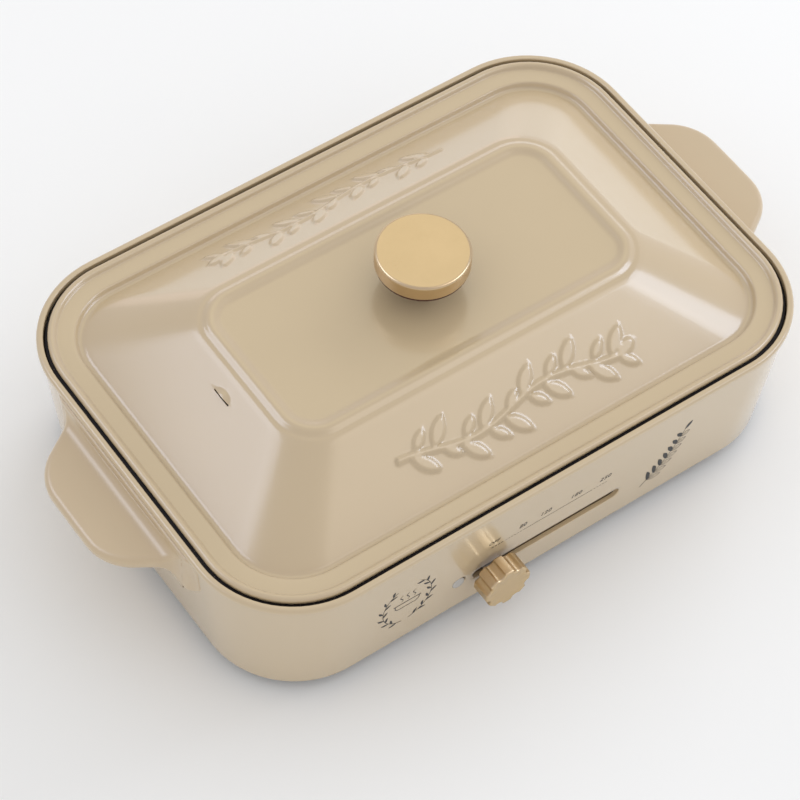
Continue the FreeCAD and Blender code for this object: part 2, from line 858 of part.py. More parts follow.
def stem_block(grow):
    """The flat stem from the carriage to the knob, grown all round for its seats."""
    low = slot_z + slit_low + (slit_height - stem_thickness) / 2
    back = mech_y + guide_web_depth + slide_gap + knob_grip / 2
    front = -wall_half_depth(slot_z) - knob_stand_off - knob_grip
    half = stem_width / 2
    return block(lever_rest - half - grow, lever_rest + half + grow, front - grow, back + grow,
                 low - grow, low + stem_thickness + grow)


def lever_stem():
    return stem_block(0)


def lever_knob():
    """Round knob with scalloped flutes, its axis along Y."""
    back = -wall_half_depth(slot_z) - knob_stand_off
    solid = rod(lever_knob_radius, V(lever_rest, lever_face_y, slot_z), V(lever_rest, back, slot_z))
    centre_distance = lever_knob_radius + lever_flute_radius - lever_flute_depth
    for i in range(lever_flute_count):
        angle = 2 * math.pi * (i + 0.5) / lever_flute_count
        x = lever_rest + centre_distance * math.cos(angle)
        z = slot_z + centre_distance * math.sin(angle)
        solid = solid.cut(rod(lever_flute_radius, V(x, lever_face_y, z), V(x, back, z)))
    face_edges = [e for e in solid.Edges if abs(e.BoundBox.YMax - lever_face_y) < 1e-6]
    solid = solid.makeFillet(lever_edge_round, face_edges)
    return solid.cut(stem_block(thread_gap))


def rack_screw_z():
    return slot_z - lip_half_height + carriage_neck / 2 + 1


def lever_rack():
    """Rack bar with a pad that is screwed to the carriage; its teeth face the pinion."""
    back = rack_front_y + rack_bar
    half = rack_length / 2
    bar = block(lever_rest - half, lever_rest + half, rack_front_y, back, rack_low, rack_low + rack_height)
    pad = block(lever_rest - carriage_width / 2, lever_rest + carriage_width / 2, rack_front_y, back,
                rack_low, slot_z + lip_half_height - slide_gap)
    solid = bar.fuse(pad).removeSplitter()
    pitch = math.pi * gear_module
    slope = math.tan(math.radians(pressure_angle))
    half_pitch_width = pitch / 4 - tooth_backlash / 2
    half_root = half_pitch_width + 1.25 * gear_module * slope
    half_tip = half_pitch_width - gear_module * slope
    tip_y = rack_pitch_y + gear_module
    teeth = []
    count = int(rack_length / pitch) + 2
    for k in range(-2 * count, 2 * count):
        x = (k + 0.5) * pitch
        if lever_rest - half + half_root <= x <= lever_rest + half - half_root:
            corners = [V(x - half_root, back, rack_low), V(x + half_root, back, rack_low),
                       V(x + half_tip, tip_y, rack_low), V(x - half_tip, tip_y, rack_low)]
            tooth = Part.Face(Part.makePolygon(corners + corners[:1]))
            teeth.append(tooth.extrude(V(0, 0, rack_height)))
    solid = solid.fuse(teeth).removeSplitter()
    for sx in (-1, 1):
        x = lever_rest + sx * rack_screw_x
        z = rack_screw_z()
        solid = solid.cut(rod(rack_screw_radius + thread_gap, V(x, rack_front_y, z), V(x, back, z)))
        solid = solid.cut(rod(rack_screw_head + thread_gap, V(x, back - screw_head, z), V(x, back, z)))
    return solid


def rack_screws():
    back = rack_front_y + rack_bar
    screws = []
    for sx in (-1, 1):
        seat = V(lever_rest + sx * rack_screw_x, back - screw_head, rack_screw_z())
        screws.append(screw(seat, V(0, -1, 0), carriage_neck + 1, rack_screw_radius, rack_screw_head))
    return screws


def gear_tooth_points():
    """Outline of the pinion: involute flanks on the base circle, straight roots and tips."""
    base = pitch_radius * math.cos(math.radians(pressure_angle))
    tip = pitch_radius + gear_module
    root = pitch_radius - 1.25 * gear_module
    involute = math.tan(math.radians(pressure_angle)) - math.radians(pressure_angle)
    half_pitch = (math.pi * gear_module / 2 - tooth_backlash) / 2 / pitch_radius
    flank = []
    steps = 5
    for i in range(steps + 1):
        radius = base + (tip - base) * i / steps
        roll = math.sqrt(max((radius / base) ** 2 - 1, 0))
        flank.append((radius, half_pitch + involute - (roll - math.atan(roll))))
    flank.insert(0, (root, flank[0][1]))
    points = []
    for k in range(pinion_teeth):
        centre = -math.pi / 2 + 2 * math.pi * k / pinion_teeth
        points += [(r, centre - a) for r, a in flank]
        points += [(r, centre + a) for r, a in reversed(flank)]
    return points


def drive_pinion():
    corners = [V(r * math.cos(a), pinion_y + r * math.sin(a), pinion_low) for r, a in gear_tooth_points()]
    gear = Part.Face(Part.makePolygon(corners + corners[:1])).extrude(V(0, 0, pinion_width))
    return gear.cut(rod(spindle_radius, V(0, pinion_y, 0), V(0, pinion_y, thermostat_top)))


def thermostat_spindle():
    return rod(spindle_radius, V(0, pinion_y, pinion_low - spindle_tail),
               V(0, pinion_y, thermostat_low + spindle_depth))


def spindle_clip():
    low = pinion_low - spindle_clip_thickness
    return turned([(spindle_radius, low), (spindle_clip_radius, low), (spindle_clip_radius, pinion_low),
                   (spindle_radius, pinion_low)], 0, pinion_y)


# Thermostat and the pieces under the pan

def thermostat_front_y():
    return rack_front_y + rack_bar + 2.2


def tab_z():
    """Height of the thermostat's blade terminals."""
    return thermostat_low + thermostat_height / 2


def thermostat_body():
    front = thermostat_front_y()
    back = front + thermostat_depth
    half = thermostat_length / 2
    solid = block(-half, half, front, back, thermostat_low, thermostat_top)
    upright = [e for e in solid.Edges if abs(e.BoundBox.ZLength - thermostat_height) < 1e-6]
    solid = solid.makeFillet(thermostat_round, upright)
    solid = solid.cut(rod(spindle_radius + running_gap, V(0, pinion_y, thermostat_low),
                          V(0, pinion_y, thermostat_low + spindle_depth + slide_gap)))
    tabs = []
    for sx in (-1, 1):
        x = sx * tab_spread
        tabs.append(block(x - tab_width / 2, x + tab_width / 2, back - 1, back + tab_length,
                          tab_z() - tab_thickness / 2, tab_z() + tab_thickness / 2))
        y = pinion_y + sx * tab_spread / 1.6
        tabs.append(block(-half - tab_length / 2, -half + 1, y - tab_width / 4, y + tab_width / 4,
                          tab_z() - tab_thickness / 2, tab_z() + tab_thickness / 2))
    solid = fused([solid] + tabs)
    for x, y in body_screw_places():
        solid = solid.cut(rod(screw_radius + thread_gap, V(x, y, thermostat_top - body_screw_depth),
                              V(x, y, thermostat_top)))
    return solid


def body_screw_places():
    return [(sx * thermostat_length / 3, pinion_y + 2) for sx in (-1, 1)]


def hat_screw_places():
    return [(sx * (hat_width / 2 + hat_tab / 2), pinion_y) for sx in (-1, 1)]


def thermostat_bracket():
    """Hat-shaped sheet bracket that hangs the thermostat from the pan's flange."""
    half = hat_width / 2
    y0 = pinion_y - hat_depth / 2
    y1 = pinion_y + hat_depth / 2
    crown = block(-half, half, y0, y1, thermostat_top, thermostat_top + hat_sheet)
    pieces = [crown]
    for sx in (-1, 1):
        inner, outer = sorted((sx * (half - hat_sheet), sx * half))
        pieces.append(block(inner, outer, y0, y1, thermostat_top, boss_top))
        inner, outer = sorted((sx * (half - hat_sheet), sx * (half + hat_tab)))
        pieces.append(block(inner, outer, y0, y1, boss_top - hat_sheet, boss_top))
    solid = fused(pieces)
    for x, y in body_screw_places() + hat_screw_places():
        solid = solid.cut(rod(screw_radius + thread_gap, V(x, y, thermostat_top), V(x, y, boss_top)))
    return solid


def thermostat_screws():
    crown = thermostat_top + hat_sheet
    down = [screw(V(x, y, crown), V(0, 0, -1), hat_sheet + body_screw_depth - screw_spare)
            for x, y in body_screw_places()]
    foot = boss_top - hat_sheet
    up = [screw(V(x, y, foot), ALONG_Z, hat_sheet + pan_sheet + screw_spare) for x, y in hat_screw_places()]
    return down + up


def bulb_z():
    return plate_low - seat_gap - bulb_radius


def capillary_x():
    return bulb_start_x - 11.0


def thermostat_bulb():
    start = V(bulb_start_x, bulb_y, bulb_z())
    bar = rod(bulb_radius, start, start.add(V(bulb_length, 0, 0)))
    return bar.makeFillet(bulb_radius / 2, rings_at(bar, 0, bulb_start_x + bulb_length))


def bulb_clips():
    """Two cradles on the pan that hold the sensing bulb against the plate."""
    clips = []
    across = bulb_radius + 1
    for share in (0.2, 0.8):
        x = bulb_start_x + share * bulb_length
        cradle = block(x - 2, x + 2, bulb_y - across, bulb_y + across, pan_floor_top, bulb_z())
        clips.append(cradle.cut(rod(bulb_radius, V(x - 4, bulb_y, bulb_z()), V(x + 4, bulb_y, bulb_z()))))
    return clips


def capillary_tube():
    """Fine tube from the thermostat's side to the bulb, up through the pan's floor."""
    side = thermostat_length / 2
    start_y = pinion_y + thermostat_depth / 6
    reach = side + inside(0.044, 0, 0).x
    turn_y = bulb_y - inside(0, 0.083, 0).y
    points = [V(side, start_y, tab_z()), V(reach, start_y, tab_z()),
              V(reach, turn_y, tab_z() - 1), V(capillary_x(), bulb_y, tab_z() - 2),
              V(capillary_x(), bulb_y, bulb_z()), V(bulb_start_x, bulb_y, bulb_z())]
    return tube(points, capillary_radius, list(capillary_turns))


def fuse_z():
    return pan_floor_low - seat_gap - fuse_radius


def thermal_fuse():
    start = V(fuse_x - fuse_length / 2, fuse_y, fuse_z())
    return rod(fuse_radius, start, start.add(V(fuse_length, 0, 0)))


def fuse_screw_places():
    reach = fuse_radius + clip_sheet + clip_tab / 2
    return [(fuse_x, fuse_y - reach), (fuse_x, fuse_y + reach)]


def fuse_clip():
    """Saddle that holds the fuse under the pan."""
    half = fuse_length / 4
    outer = fuse_radius + clip_sheet
    z = fuse_z()

    def saddle(radius, x_half):
        x0 = fuse_x - x_half
        x1 = fuse_x + x_half
        legs = block(x0, x1, fuse_y - radius, fuse_y + radius, z, pan_floor_low)
        arch = rod(radius, V(x0, fuse_y, z), V(x1, fuse_y, z))
        below = block(x0, x1, fuse_y - radius, fuse_y + radius, z - radius, z)
        return arch.common(below).fuse(legs).removeSplitter()

    tab_half = outer + clip_tab
    tabs = block(fuse_x - half, fuse_x + half, fuse_y - tab_half, fuse_y + tab_half,
                 pan_floor_low - clip_sheet, pan_floor_low)
    solid = saddle(outer, half).fuse(tabs).removeSplitter().cut(saddle(fuse_radius, 2 * half))
    for x, y in fuse_screw_places():
        solid = solid.cut(rod(screw_radius, V(x, y, pan_floor_low - clip_sheet), V(x, y, pan_floor_low)))
    return solid


def fuse_screws():
    seat = pan_floor_low - clip_sheet
    length = clip_sheet + pan_sheet + screw_spare
    return [screw(V(x, y, seat), ALONG_Z, length, screw_radius, fuse_screw_head)
            for x, y in fuse_screw_places()]


# Pilot lamp

def lens_back_y():
    return mech_y + lens_flange + seat_gap


def lamp_centre(y):
    return V(lamp_x, y, slot_z + lamp_rise)


def pilot_lens():
    front = -wall_half_depth(slot_z + lamp_rise) - lens_proud
    back = lens_back_y()
    stem = rod(lens_radius, lamp_centre(front), lamp_centre(back))
    stem = stem.makeFillet(lens_proud, rings_at(stem, 1, front))
    return stem.fuse(rod(lens_flange_radius, lamp_centre(back - lens_flange), lamp_centre(back)))


def lamp_holder():
    """Sleeve behind the lens with a foot that snaps on the end of the lever guide."""
    front = lens_back_y()
    back = front + holder_length
    sleeve = rod(lens_flange_radius, lamp_centre(front), lamp_centre(back))
    bore = rod(holder_bore, lamp_centre(front), lamp_centre(back - holder_back))
    foot = block(lamp_x + holder_bore, -guide_half_length, front, mech_y + guide_depth,
                 slot_z + lamp_rise - lens_flange_radius / 2, slot_z + lamp_rise + lens_flange_radius / 2)
    solid = sleeve.fuse(foot).cut(bore)
    for sx in (-1, 1):
        x = lamp_x + sx * lead_spread()
        solid = solid.cut(rod(lead_radius + thread_gap, V(x, front, slot_z + lamp_rise),
                              V(x, back, slot_z + lamp_rise)))
    return solid


def lead_spread():
    return neon_radius / 2


def neon_bulb():
    back = lens_back_y() + holder_length - holder_back
    glass = rod(neon_radius, lamp_centre(back - neon_length), lamp_centre(back))
    return glass.makeFillet(neon_tip_round, rings_at(glass, 1, back - neon_length))


# Power inlet

def inlet_y(depth):
    """Y at a depth behind the back wall's outer face."""
    return wall_half_depth(slot_z) - depth


def inlet_face_prism(width, height, depth):
    """Bar along Y whose outer end follows the slanting back wall."""
    low = slot_z - height / 2
    top = slot_z + height / 2
    bar = side_prism([(wall_half_depth(low), low), (wall_half_depth(top), top), (inlet_y(depth), top),
                      (inlet_y(depth), low)], inlet_x - width / 2, inlet_x + width / 2)
    outline = inlet_cutter(width, height, inlet_y(depth), rim_depth, inlet_corner - seat_gap / 2)
    return bar.common(outline)


def inlet_socket():
    body = inlet_face_prism(inlet_width - seat_gap, inlet_height - seat_gap, inlet_depth)
    seat = inlet_seat_y()
    back = seat - inlet_flange_sheet
    flange = inlet_cutter(inlet_flange_width, inlet_flange_height, back, seat, inlet_corner)
    solid = body.fuse(flange)
    solid = solid.cut(inlet_cutter(inlet_recess_width, inlet_recess_height, inlet_y(inlet_recess_depth),
                                   rim_depth, inlet_corner / 2))
    for sx in (-1, 1):
        x = inlet_x + sx * pin_spread
        solid = solid.cut(rod(pin_radius, V(x, inlet_y(inlet_depth), slot_z), V(x, inlet_y(0), slot_z)))
        x = inlet_x + sx * inlet_screw_x
        solid = solid.cut(rod(screw_radius + thread_gap, V(x, back, slot_z), V(x, seat, slot_z)))
    return solid.cut(fused(inlet_magnets()))


def inlet_pins():
    """Round contact pins with a blade behind each for its wire."""
    pins = []
    for sx in (-1, 1):
        x = inlet_x + sx * pin_spread
        pin = rod(pin_radius, V(x, inlet_y(inlet_depth), slot_z), V(x, inlet_y(pin_recess), slot_z))
        pin = pin.makeFillet(pin_radius / 2, rings_at(pin, 1, inlet_y(pin_recess)))
        blade = block(x - tab_width / 2, x + tab_width / 2, inlet_y(inlet_depth + tab_length),
                      inlet_y(inlet_depth), slot_z - tab_thickness / 2, slot_z + tab_thickness / 2)
        pins.append(pin.fuse(blade))
    return pins


def inlet_magnets():
    """Steel pads sunk in the recess floor, where a magnetic plug would hold."""
    outer = inlet_recess_width / 2
    pads = []
    for sx in (-1, 1):
        x0, x1 = sorted((inlet_x + sx * outer, inlet_x + sx * (outer - pad_width)))
        pads.append(block(x0, x1, inlet_y(inlet_recess_depth + pad_depth), inlet_y(inlet_recess_depth),
                          slot_z - pad_height / 2, slot_z + pad_height / 2))
    return pads


def inlet_screws():
    seat = inlet_seat_y() - inlet_flange_sheet
    length = inlet_flange_sheet + inlet_boss_height - screw_spare
    return [screw(V(inlet_x + sx * inlet_screw_x, seat, slot_z), ALONG_Y, length) for sx in (-1, 1)]


# Wires: each route is a short list of points chosen along the pieces it passes

def inlet_wire_start(side):
    return V(inlet_x + side * pin_spread, inlet_y(inlet_depth + tab_length), slot_z)


def thermostat_wire_end(side):
    return V(side * tab_spread, thermostat_front_y() + thermostat_depth + tab_length, tab_z())


def inside(along, across, up):
    """Point in the housing, given as shares of its length, depth and height."""
    return V(along * rim_length, across * rim_depth, up * rim_height)


def live_wire():
    start = inlet_wire_start(1)
    end = thermostat_wire_end(1)
    points = [start, start.add(V(0, -inlet_lead, 0)), inside(0.208, 0.138, 0.218),
              inside(0.158, -0.018, 0.186), inside(0.082, -0.138, 0.269),
              end.add(V(0, switch_lead, 0)), end]
    return tube(points, wire_radius)


def switched_wire():
    start = thermostat_wire_end(-1)
    end = V(fuse_x - fuse_length / 2, fuse_y, fuse_z())
    points = [start, start.add(V(0, switch_lead, 0)), inside(-0.101, -0.110, 0.308),
              inside(-0.196, -0.074, 0.308), inside(-0.240, 0.009, 0.385),
              end.add(V(-fuse_lead, 0, 0)), end]
    return tube(points, wire_radius)


def element_wire():
    start = V(fuse_x + fuse_length / 2, fuse_y, fuse_z())
    reach = lug_radius + barrel_length - 1
    end = V(-element_leg_x, element_leg_y - reach, terminal_z())
    points = [start, start.add(V(10, 0, 0)), end.add(V(0, -switch_lead, 0)), end]
    return tube(points, wire_radius)


def neutral_wire():
    start = inlet_wire_start(-1)
    reach = lug_radius + barrel_length - 1
    end = V(element_leg_x + reach, element_leg_y, terminal_z())
    points = [start, start.add(V(0, -neutral_lead, 0)), end.add(V(neutral_lead - 1, 0, 0)), end]
    return tube(points, wire_radius)


def lamp_leads():
    leads = []
    back = lens_back_y() + holder_length - holder_back
    z = slot_z + lamp_rise
    for sx in (-1, 1):
        start = V(lamp_x - sx * lead_spread(), back, z)
        end = V(-thermostat_length / 2 - tab_length / 2, pinion_y - sx * tab_spread / -1.6, tab_z())
        turn_y = end.y - 3 if sx < 0 else end.y - 5
        points = [start, V(start.x, turn_y, z), V(end.x - lamp_lead, end.y, end.z), end]
        leads.append(tube(points, lead_radius, [4, 4]))
    return leads


# Lid

def corner_at(inset):
    """Corner radius of the lid's outline at an inset: it follows the rim, then eases into the panel's."""
    slope_start = lid_step[-1][0]
    if inset <= slope_start:
        return rim_corner - inset
    if inset <= lid_slope_end[0]:
        share = (inset - slope_start) / (lid_slope_end[0] - slope_start)
        return (rim_corner - slope_start) * (1 - share) + panel_corner * share
    return panel_corner - (inset - lid_slope_end[0])


def lid_stations():
    return [lid_edge, *lid_bead, lid_band_end, *lid_step, lid_slope_end, *panel_bead, panel_start]


def drawn_in(stations, depth):
    """The stations moved under the sheet by its depth, square to the profile at each one."""
    moved = []
    for i, (inset, height) in enumerate(stations):
        before = stations[max(i - 1, 0)]
        after = stations[min(i + 1, len(stations) - 1)]
        along = V(after[0] - before[0], after[1] - before[1], 0).normalize()
        moved.append((inset + depth * along.y, height - depth * along.x))
    moved[0] = (stations[0][0] + depth, stations[0][1])
    moved[-1] = (stations[-1][0], stations[-1][1] - depth)
    return moved


def lid_wire(station):
    inset, height = station
    return rounded(rim_length - 2 * inset, rim_depth - 2 * inset, corner_at(inset), rim_height + height)


def lid_skin(stations):
    wires = [lid_wire(station) for station in stations]
    return Part.makeLoft(wires, False, True).Faces + [Part.Face(wires[-1])]


def slope_direction():
    """Unit vector up the left slope, and the slope's outward normal."""
    run = lid_slope_end[0] - lid_step[-1][0]
    rise = lid_slope_end[1] - lid_step[-1][1]
    up = V(run, 0, rise).normalize()
    return up, V(-up.z, 0, up.x)


def lid_vent_place():
    """Point on the left slope where the steam vent's slit lies."""
    share = (vent_inset - lid_step[-1][0]) / (lid_slope_end[0] - lid_step[-1][0])
    height = lid_step[-1][1] + share * (lid_slope_end[1] - lid_step[-1][1])
    return V(vent_inset - rim_length / 2, 0, rim_height + height)


def lid_shell():
    """Pressed sheet: rolled bead, flat band, step, four slopes and a beaded panel."""
    stations = lid_stations()
    under = drawn_in(stations, lid_sheet)
    edge = Part.Face(lid_wire(stations[0])).cut(Part.Face(lid_wire(under[0])))
    shell = Part.makeShell(lid_skin(stations) + lid_skin(under) + edge.Faces)
    shell.sewShape()
    solid = Part.makeSolid(shell)
    if solid.Volume < 0:
        solid.reverse()
    up, normal = slope_direction()
    place = lid_vent_place()
    half = vent_slit / 2
    ball_radius = (half ** 2 + vent_hood_height ** 2) / (2 * vent_hood_height)
    centre = place.sub(normal * (ball_radius - vent_hood_height))
    hood = Part.makeSphere(ball_radius, centre)
    front = Part.makeBox(4 * half, 4 * half, 4 * half, V(0, -2 * half, -lid_sheet / 2))
    front.Placement = FreeCAD.Placement(place, FreeCAD.Rotation(up, ALONG_Y, normal, "XYZ"))
    slit_corner = V(-vent_slit_width, -half, -3 * lid_sheet)
    slit = Part.makeBox(vent_slit_width, vent_slit, 6 * lid_sheet, slit_corner)
    slit.Placement = FreeCAD.Placement(place, FreeCAD.Rotation(up, ALONG_Y, normal, "XYZ"))
    solid = solid.fuse(hood.common(front)).cut(slit)
    hole = rod(knob_screw_radius + thread_gap, V(0, 0, rim_height), V(0, 0, rim_height + knob_top))
    return solid.cut(hole)


def panel_z():
    return rim_height + panel_start[1]


def lid_knob():
    """Metal cap of the knob, slightly dished on top."""
    top = rim_height + knob_top
    low = top - knob_height
    dish_radius = (knob_radius ** 2 + knob_dish ** 2) / (2 * knob_dish)
    disc = rod(knob_radius, V(0, 0, low), V(0, 0, top))
    disc = disc.makeFillet(knob_edge_round, rings_at(disc, 2, top))
    disc = disc.makeChamfer(knob_chamfer, rings_at(disc, 2, low))
    ball = Part.makeSphere(dish_radius, V(0, 0, top - knob_dish + dish_radius))
    disc = disc.cut(ball)
    return disc.cut(rod(knob_screw_radius + thread_gap, V(0, 0, low), V(0, 0, low + knob_screw_grip)))


def knob_insulator():
    """Heat-proof collar and neck between the cap and the lid."""
    top = rim_height + knob_top - knob_height
    low = panel_z() + gasket_thickness
    bore = knob_screw_radius + thread_gap
    shoulder = top - collar_thickness
    profile = [(bore, low), (neck_base_radius, low), (neck_base_radius, low + neck_base / 2),
               (neck_radius, low + 2 * neck_base), (neck_radius, shoulder - neck_base),
               (neck_base_radius + 2, shoulder), (collar_radius, shoulder), (collar_radius, top),
               (bore, top)]
    return turned(profile)


def knob_gasket():
    low = panel_z()
    top = low + gasket_thickness
    bore = knob_screw_radius + thread_gap
    return turned([(bore, low), (gasket_radius, low), (gasket_radius, top), (bore, top)])


def knob_washer():
    top = panel_z() - lid_sheet
    low = top - knob_washer_thickness
    bore = knob_screw_radius + thread_gap
    return turned([(bore, low), (knob_washer_radius, low), (knob_washer_radius, top), (bore, top)])


def knob_screw():
    seat = V(0, 0, panel_z() - lid_sheet - knob_washer_thickness)
    end = rim_height + knob_top - knob_height + knob_screw_grip - seat_gap
    return screw(seat, ALONG_Z, end - seat.z, knob_screw_radius, knob_screw_head_radius, knob_screw_head)


nodes = (
    outer_housing, left_handle, right_handle, handle_screws, base_cover, feet, foot_screws,
    griddle_plate, reflector_pan, pan_screws, heating_element, element_clips, element_bushes,
    element_terminals, lever_guide, guide_screws, lever_carriage, lever_stem, lever_knob, lever_rack,
    rack_screws, drive_pinion, thermostat_spindle, spindle_clip, thermostat_body, thermostat_bracket,
    thermostat_screws, thermostat_bulb, bulb_clips, capillary_tube, thermal_fuse, fuse_clip, fuse_screws,
    pilot_lens, lamp_holder, neon_bulb, inlet_socket, inlet_pins, inlet_magnets, inlet_screws,
    live_wire, switched_wire, element_wire, neutral_wire, lamp_leads,
    lid_shell, lid_knob, knob_insulator, knob_gasket, knob_washer, knob_screw,
)

os.makedirs("parts", exist_ok=True)
for make in nodes:
    made = make()
    shape = Part.makeCompound(made) if isinstance(made, list) else made
    shape.translate(frame_shift)
    shape.exportStep("parts/" + make.__name__ + ".step")
    print(make.__name__, len(shape.Solids), "solids", round(shape.Volume, 1), "mm3", shape.isValid())
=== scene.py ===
# %% [markdown]
# # A tabletop electric griddle
# The griddle is a painted sheet housing with a pressed lid, two moulded handles and a heat
# lever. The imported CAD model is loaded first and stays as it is: it says where every piece
# sits and which body it moves with. The pieces that show get new, finer surfaces here, and
# all the others keep their CAD shape and only get a finish.

# %% Load the frame
import json
import math

import bmesh
import bpy
import numpy as np
from mathutils import Matrix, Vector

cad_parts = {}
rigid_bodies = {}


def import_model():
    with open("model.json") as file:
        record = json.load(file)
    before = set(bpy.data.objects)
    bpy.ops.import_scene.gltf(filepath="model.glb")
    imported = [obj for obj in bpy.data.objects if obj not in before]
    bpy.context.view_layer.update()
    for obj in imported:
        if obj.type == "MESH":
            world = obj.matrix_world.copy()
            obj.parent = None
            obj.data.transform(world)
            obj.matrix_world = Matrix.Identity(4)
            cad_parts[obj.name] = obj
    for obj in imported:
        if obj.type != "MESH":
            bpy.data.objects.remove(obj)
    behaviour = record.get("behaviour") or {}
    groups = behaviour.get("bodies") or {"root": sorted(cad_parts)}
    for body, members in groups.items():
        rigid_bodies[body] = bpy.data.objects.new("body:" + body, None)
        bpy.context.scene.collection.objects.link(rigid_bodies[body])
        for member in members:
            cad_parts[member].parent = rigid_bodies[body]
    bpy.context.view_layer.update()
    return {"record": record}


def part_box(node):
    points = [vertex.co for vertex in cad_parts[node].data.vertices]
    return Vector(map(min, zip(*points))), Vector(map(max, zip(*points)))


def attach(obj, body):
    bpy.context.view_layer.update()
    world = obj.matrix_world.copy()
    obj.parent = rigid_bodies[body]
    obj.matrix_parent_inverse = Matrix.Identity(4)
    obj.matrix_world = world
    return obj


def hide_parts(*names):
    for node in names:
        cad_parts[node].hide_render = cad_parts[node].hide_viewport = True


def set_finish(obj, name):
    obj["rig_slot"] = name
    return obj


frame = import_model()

# %% [markdown]
# ## Sizes
# Lengths are easier to read in millimetres, so the shapes are worked out in millimetres and
# scaled once, when a mesh is made. The rim of the housing gives the middle of the griddle
# and its outline. Every other outline of the housing and the lid is that outline drawn in.

# %% Sizes taken from the housing
MM = 0.001
DOUBLE = 0.002 * MM
low, high = (np.array(corner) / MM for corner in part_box("outer_housing"))
RIM = (high - low)[:2] / 2
MIDDLE_Y = (low[1] + high[1]) / 2
RIM_TOP = high[2]
RIM_PLANE = 78.0
RIM_CORNER = 49.5
print("rim half sizes", np.round(RIM, 2), "middle Y", round(MIDDLE_Y, 3), "top", round(RIM_TOP, 2))

# %% [markdown]
# ## Helpers for surfaces
# A pressed or moulded wall is a line carried round a path. Here the line is a profile with
# small arcs at its bends, and the path is a rectangle with rounded corners. Working them out
# as whole arrays keeps the shape exact, and a closed strip of faces has no seam.

# %% Profile with rounded bends
def rounded_line(points, radii, steps=6):
    """Straight runs with an arc at each inner point. An arc of radius r at a bend that turns
    by t starts and ends r * tan(t / 2) from the bend, and its centre lies on the bisector."""
    points = np.asarray(points, float)
    line = [points[:1]]
    for before, bend, after, radius in zip(points[:-2], points[1:-1], points[2:], radii):
        back = (before - bend) / np.linalg.norm(before - bend)
        ahead = (after - bend) / np.linalg.norm(after - bend)
        half_turn = (math.pi - math.acos(np.clip(back @ ahead, -1, 1))) / 2
        if radius <= 0 or half_turn < 1e-3:
            line.append(bend[None])
            continue
        middle = back + ahead
        middle = middle / np.linalg.norm(middle)
        centre = bend + middle * radius / math.cos(half_turn)
        angles = np.linspace(-half_turn, half_turn, steps + 1)[:, None]
        across = ahead - middle * (ahead @ middle)
        across = across / np.linalg.norm(across)
        line.append(centre + radius * (-middle * np.cos(angles) + across * np.sin(angles)))
    line.append(points[-1:])
    return np.vstack(line)


def directions(line):
    """Unit direction of a line at each point: the step from the point before it to the point
    after it, divided by its length."""
    along = np.gradient(line, axis=0)
    return along / np.maximum(np.linalg.norm(along, axis=1), 1e-9)[:, None]


# %% Mesh from arrays
def grid_faces(rows, columns, wrap_rows=False, wrap_columns=True):
    """Four-sided faces of a grid of points, as indices row * columns + column."""
    i = np.arange(rows if wrap_rows else rows - 1)[:, None]
    j = np.arange(columns if wrap_columns else columns - 1)[None, :]
    i2 = (i + 1) % rows
    j2 = (j + 1) % columns
    corners = [i * columns + j, i * columns + j2, i2 * columns + j2, i2 * columns + j]
    return np.stack(corners, -1)


def grid_shell(points, wrap_columns=True):
    """A grid of points as a shell: its points in one list, and its faces."""
    faces = grid_faces(*points.shape[:2], wrap_columns=wrap_columns)
    return points.reshape(-1, 3), faces.reshape(-1, 4)


def strip_between(first, second, sign):
    """Faces between two lines of point indices, turned over where the sign is -1."""
    return np.stack([first[:-1], first[1:], second[1:], second[:-1]], -1)[:, ::sign]


def facing_out(points, faces):
    """The faces, turned round if the shell's volume, summed over its triangles, is negative."""
    a, b, c, d = (points[faces[:, k]] for k in range(4))
    volume = np.einsum("ij,ij->i", a, np.cross(b, c) + np.cross(c, d)).sum() / 6
    return faces if volume > 0 else faces[:, ::-1]


def joined(shells):
    """Several shells as one: their points stacked and their face indices moved on."""
    points, faces, count = [], [], 0
    for shell_points, shell_faces in shells:
        points.append(shell_points)
        faces.append(facing_out(shell_points, shell_faces) + count)
        count += len(shell_points)
    return np.vstack(points), np.vstack(faces)


def merge_doubles(mesh):
    """Merges points that lie on each other, where a grid closes on itself, and counts them."""
    work = bmesh.new()
    work.from_mesh(mesh)
    before = len(work.verts)
    bmesh.ops.remove_doubles(work, verts=work.verts, dist=DOUBLE)
    merged = before - len(work.verts)
    work.to_mesh(mesh)
    work.free()
    return merged


def make_piece(name, shells, body, slot, replaced=(), sharp=35.0):
    """Mesh object from shells in millimetres, smooth but for edges over the sharp angle. A
    face that names a point twice keeps it once and becomes a triangle."""
    points, faces = joined(shells)
    mesh = bpy.data.meshes.new(name)
    corners = [list(dict.fromkeys(face)) for face in faces.tolist()]
    mesh.from_pydata((points * MM).tolist(), [], corners)
    mesh.validate()
    merged = merge_doubles(mesh)
    mesh.shade_smooth()
    mesh.set_sharp_from_angle(angle=math.radians(sharp))
    piece = bpy.data.objects.new(name, mesh)
    bpy.context.scene.collection.objects.link(piece)
    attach(piece, body)
    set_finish(piece, slot)
    if replaced:
        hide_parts(*replaced)
    print(name, len(mesh.vertices), "points,", len(mesh.polygons), "faces, merged", merged)


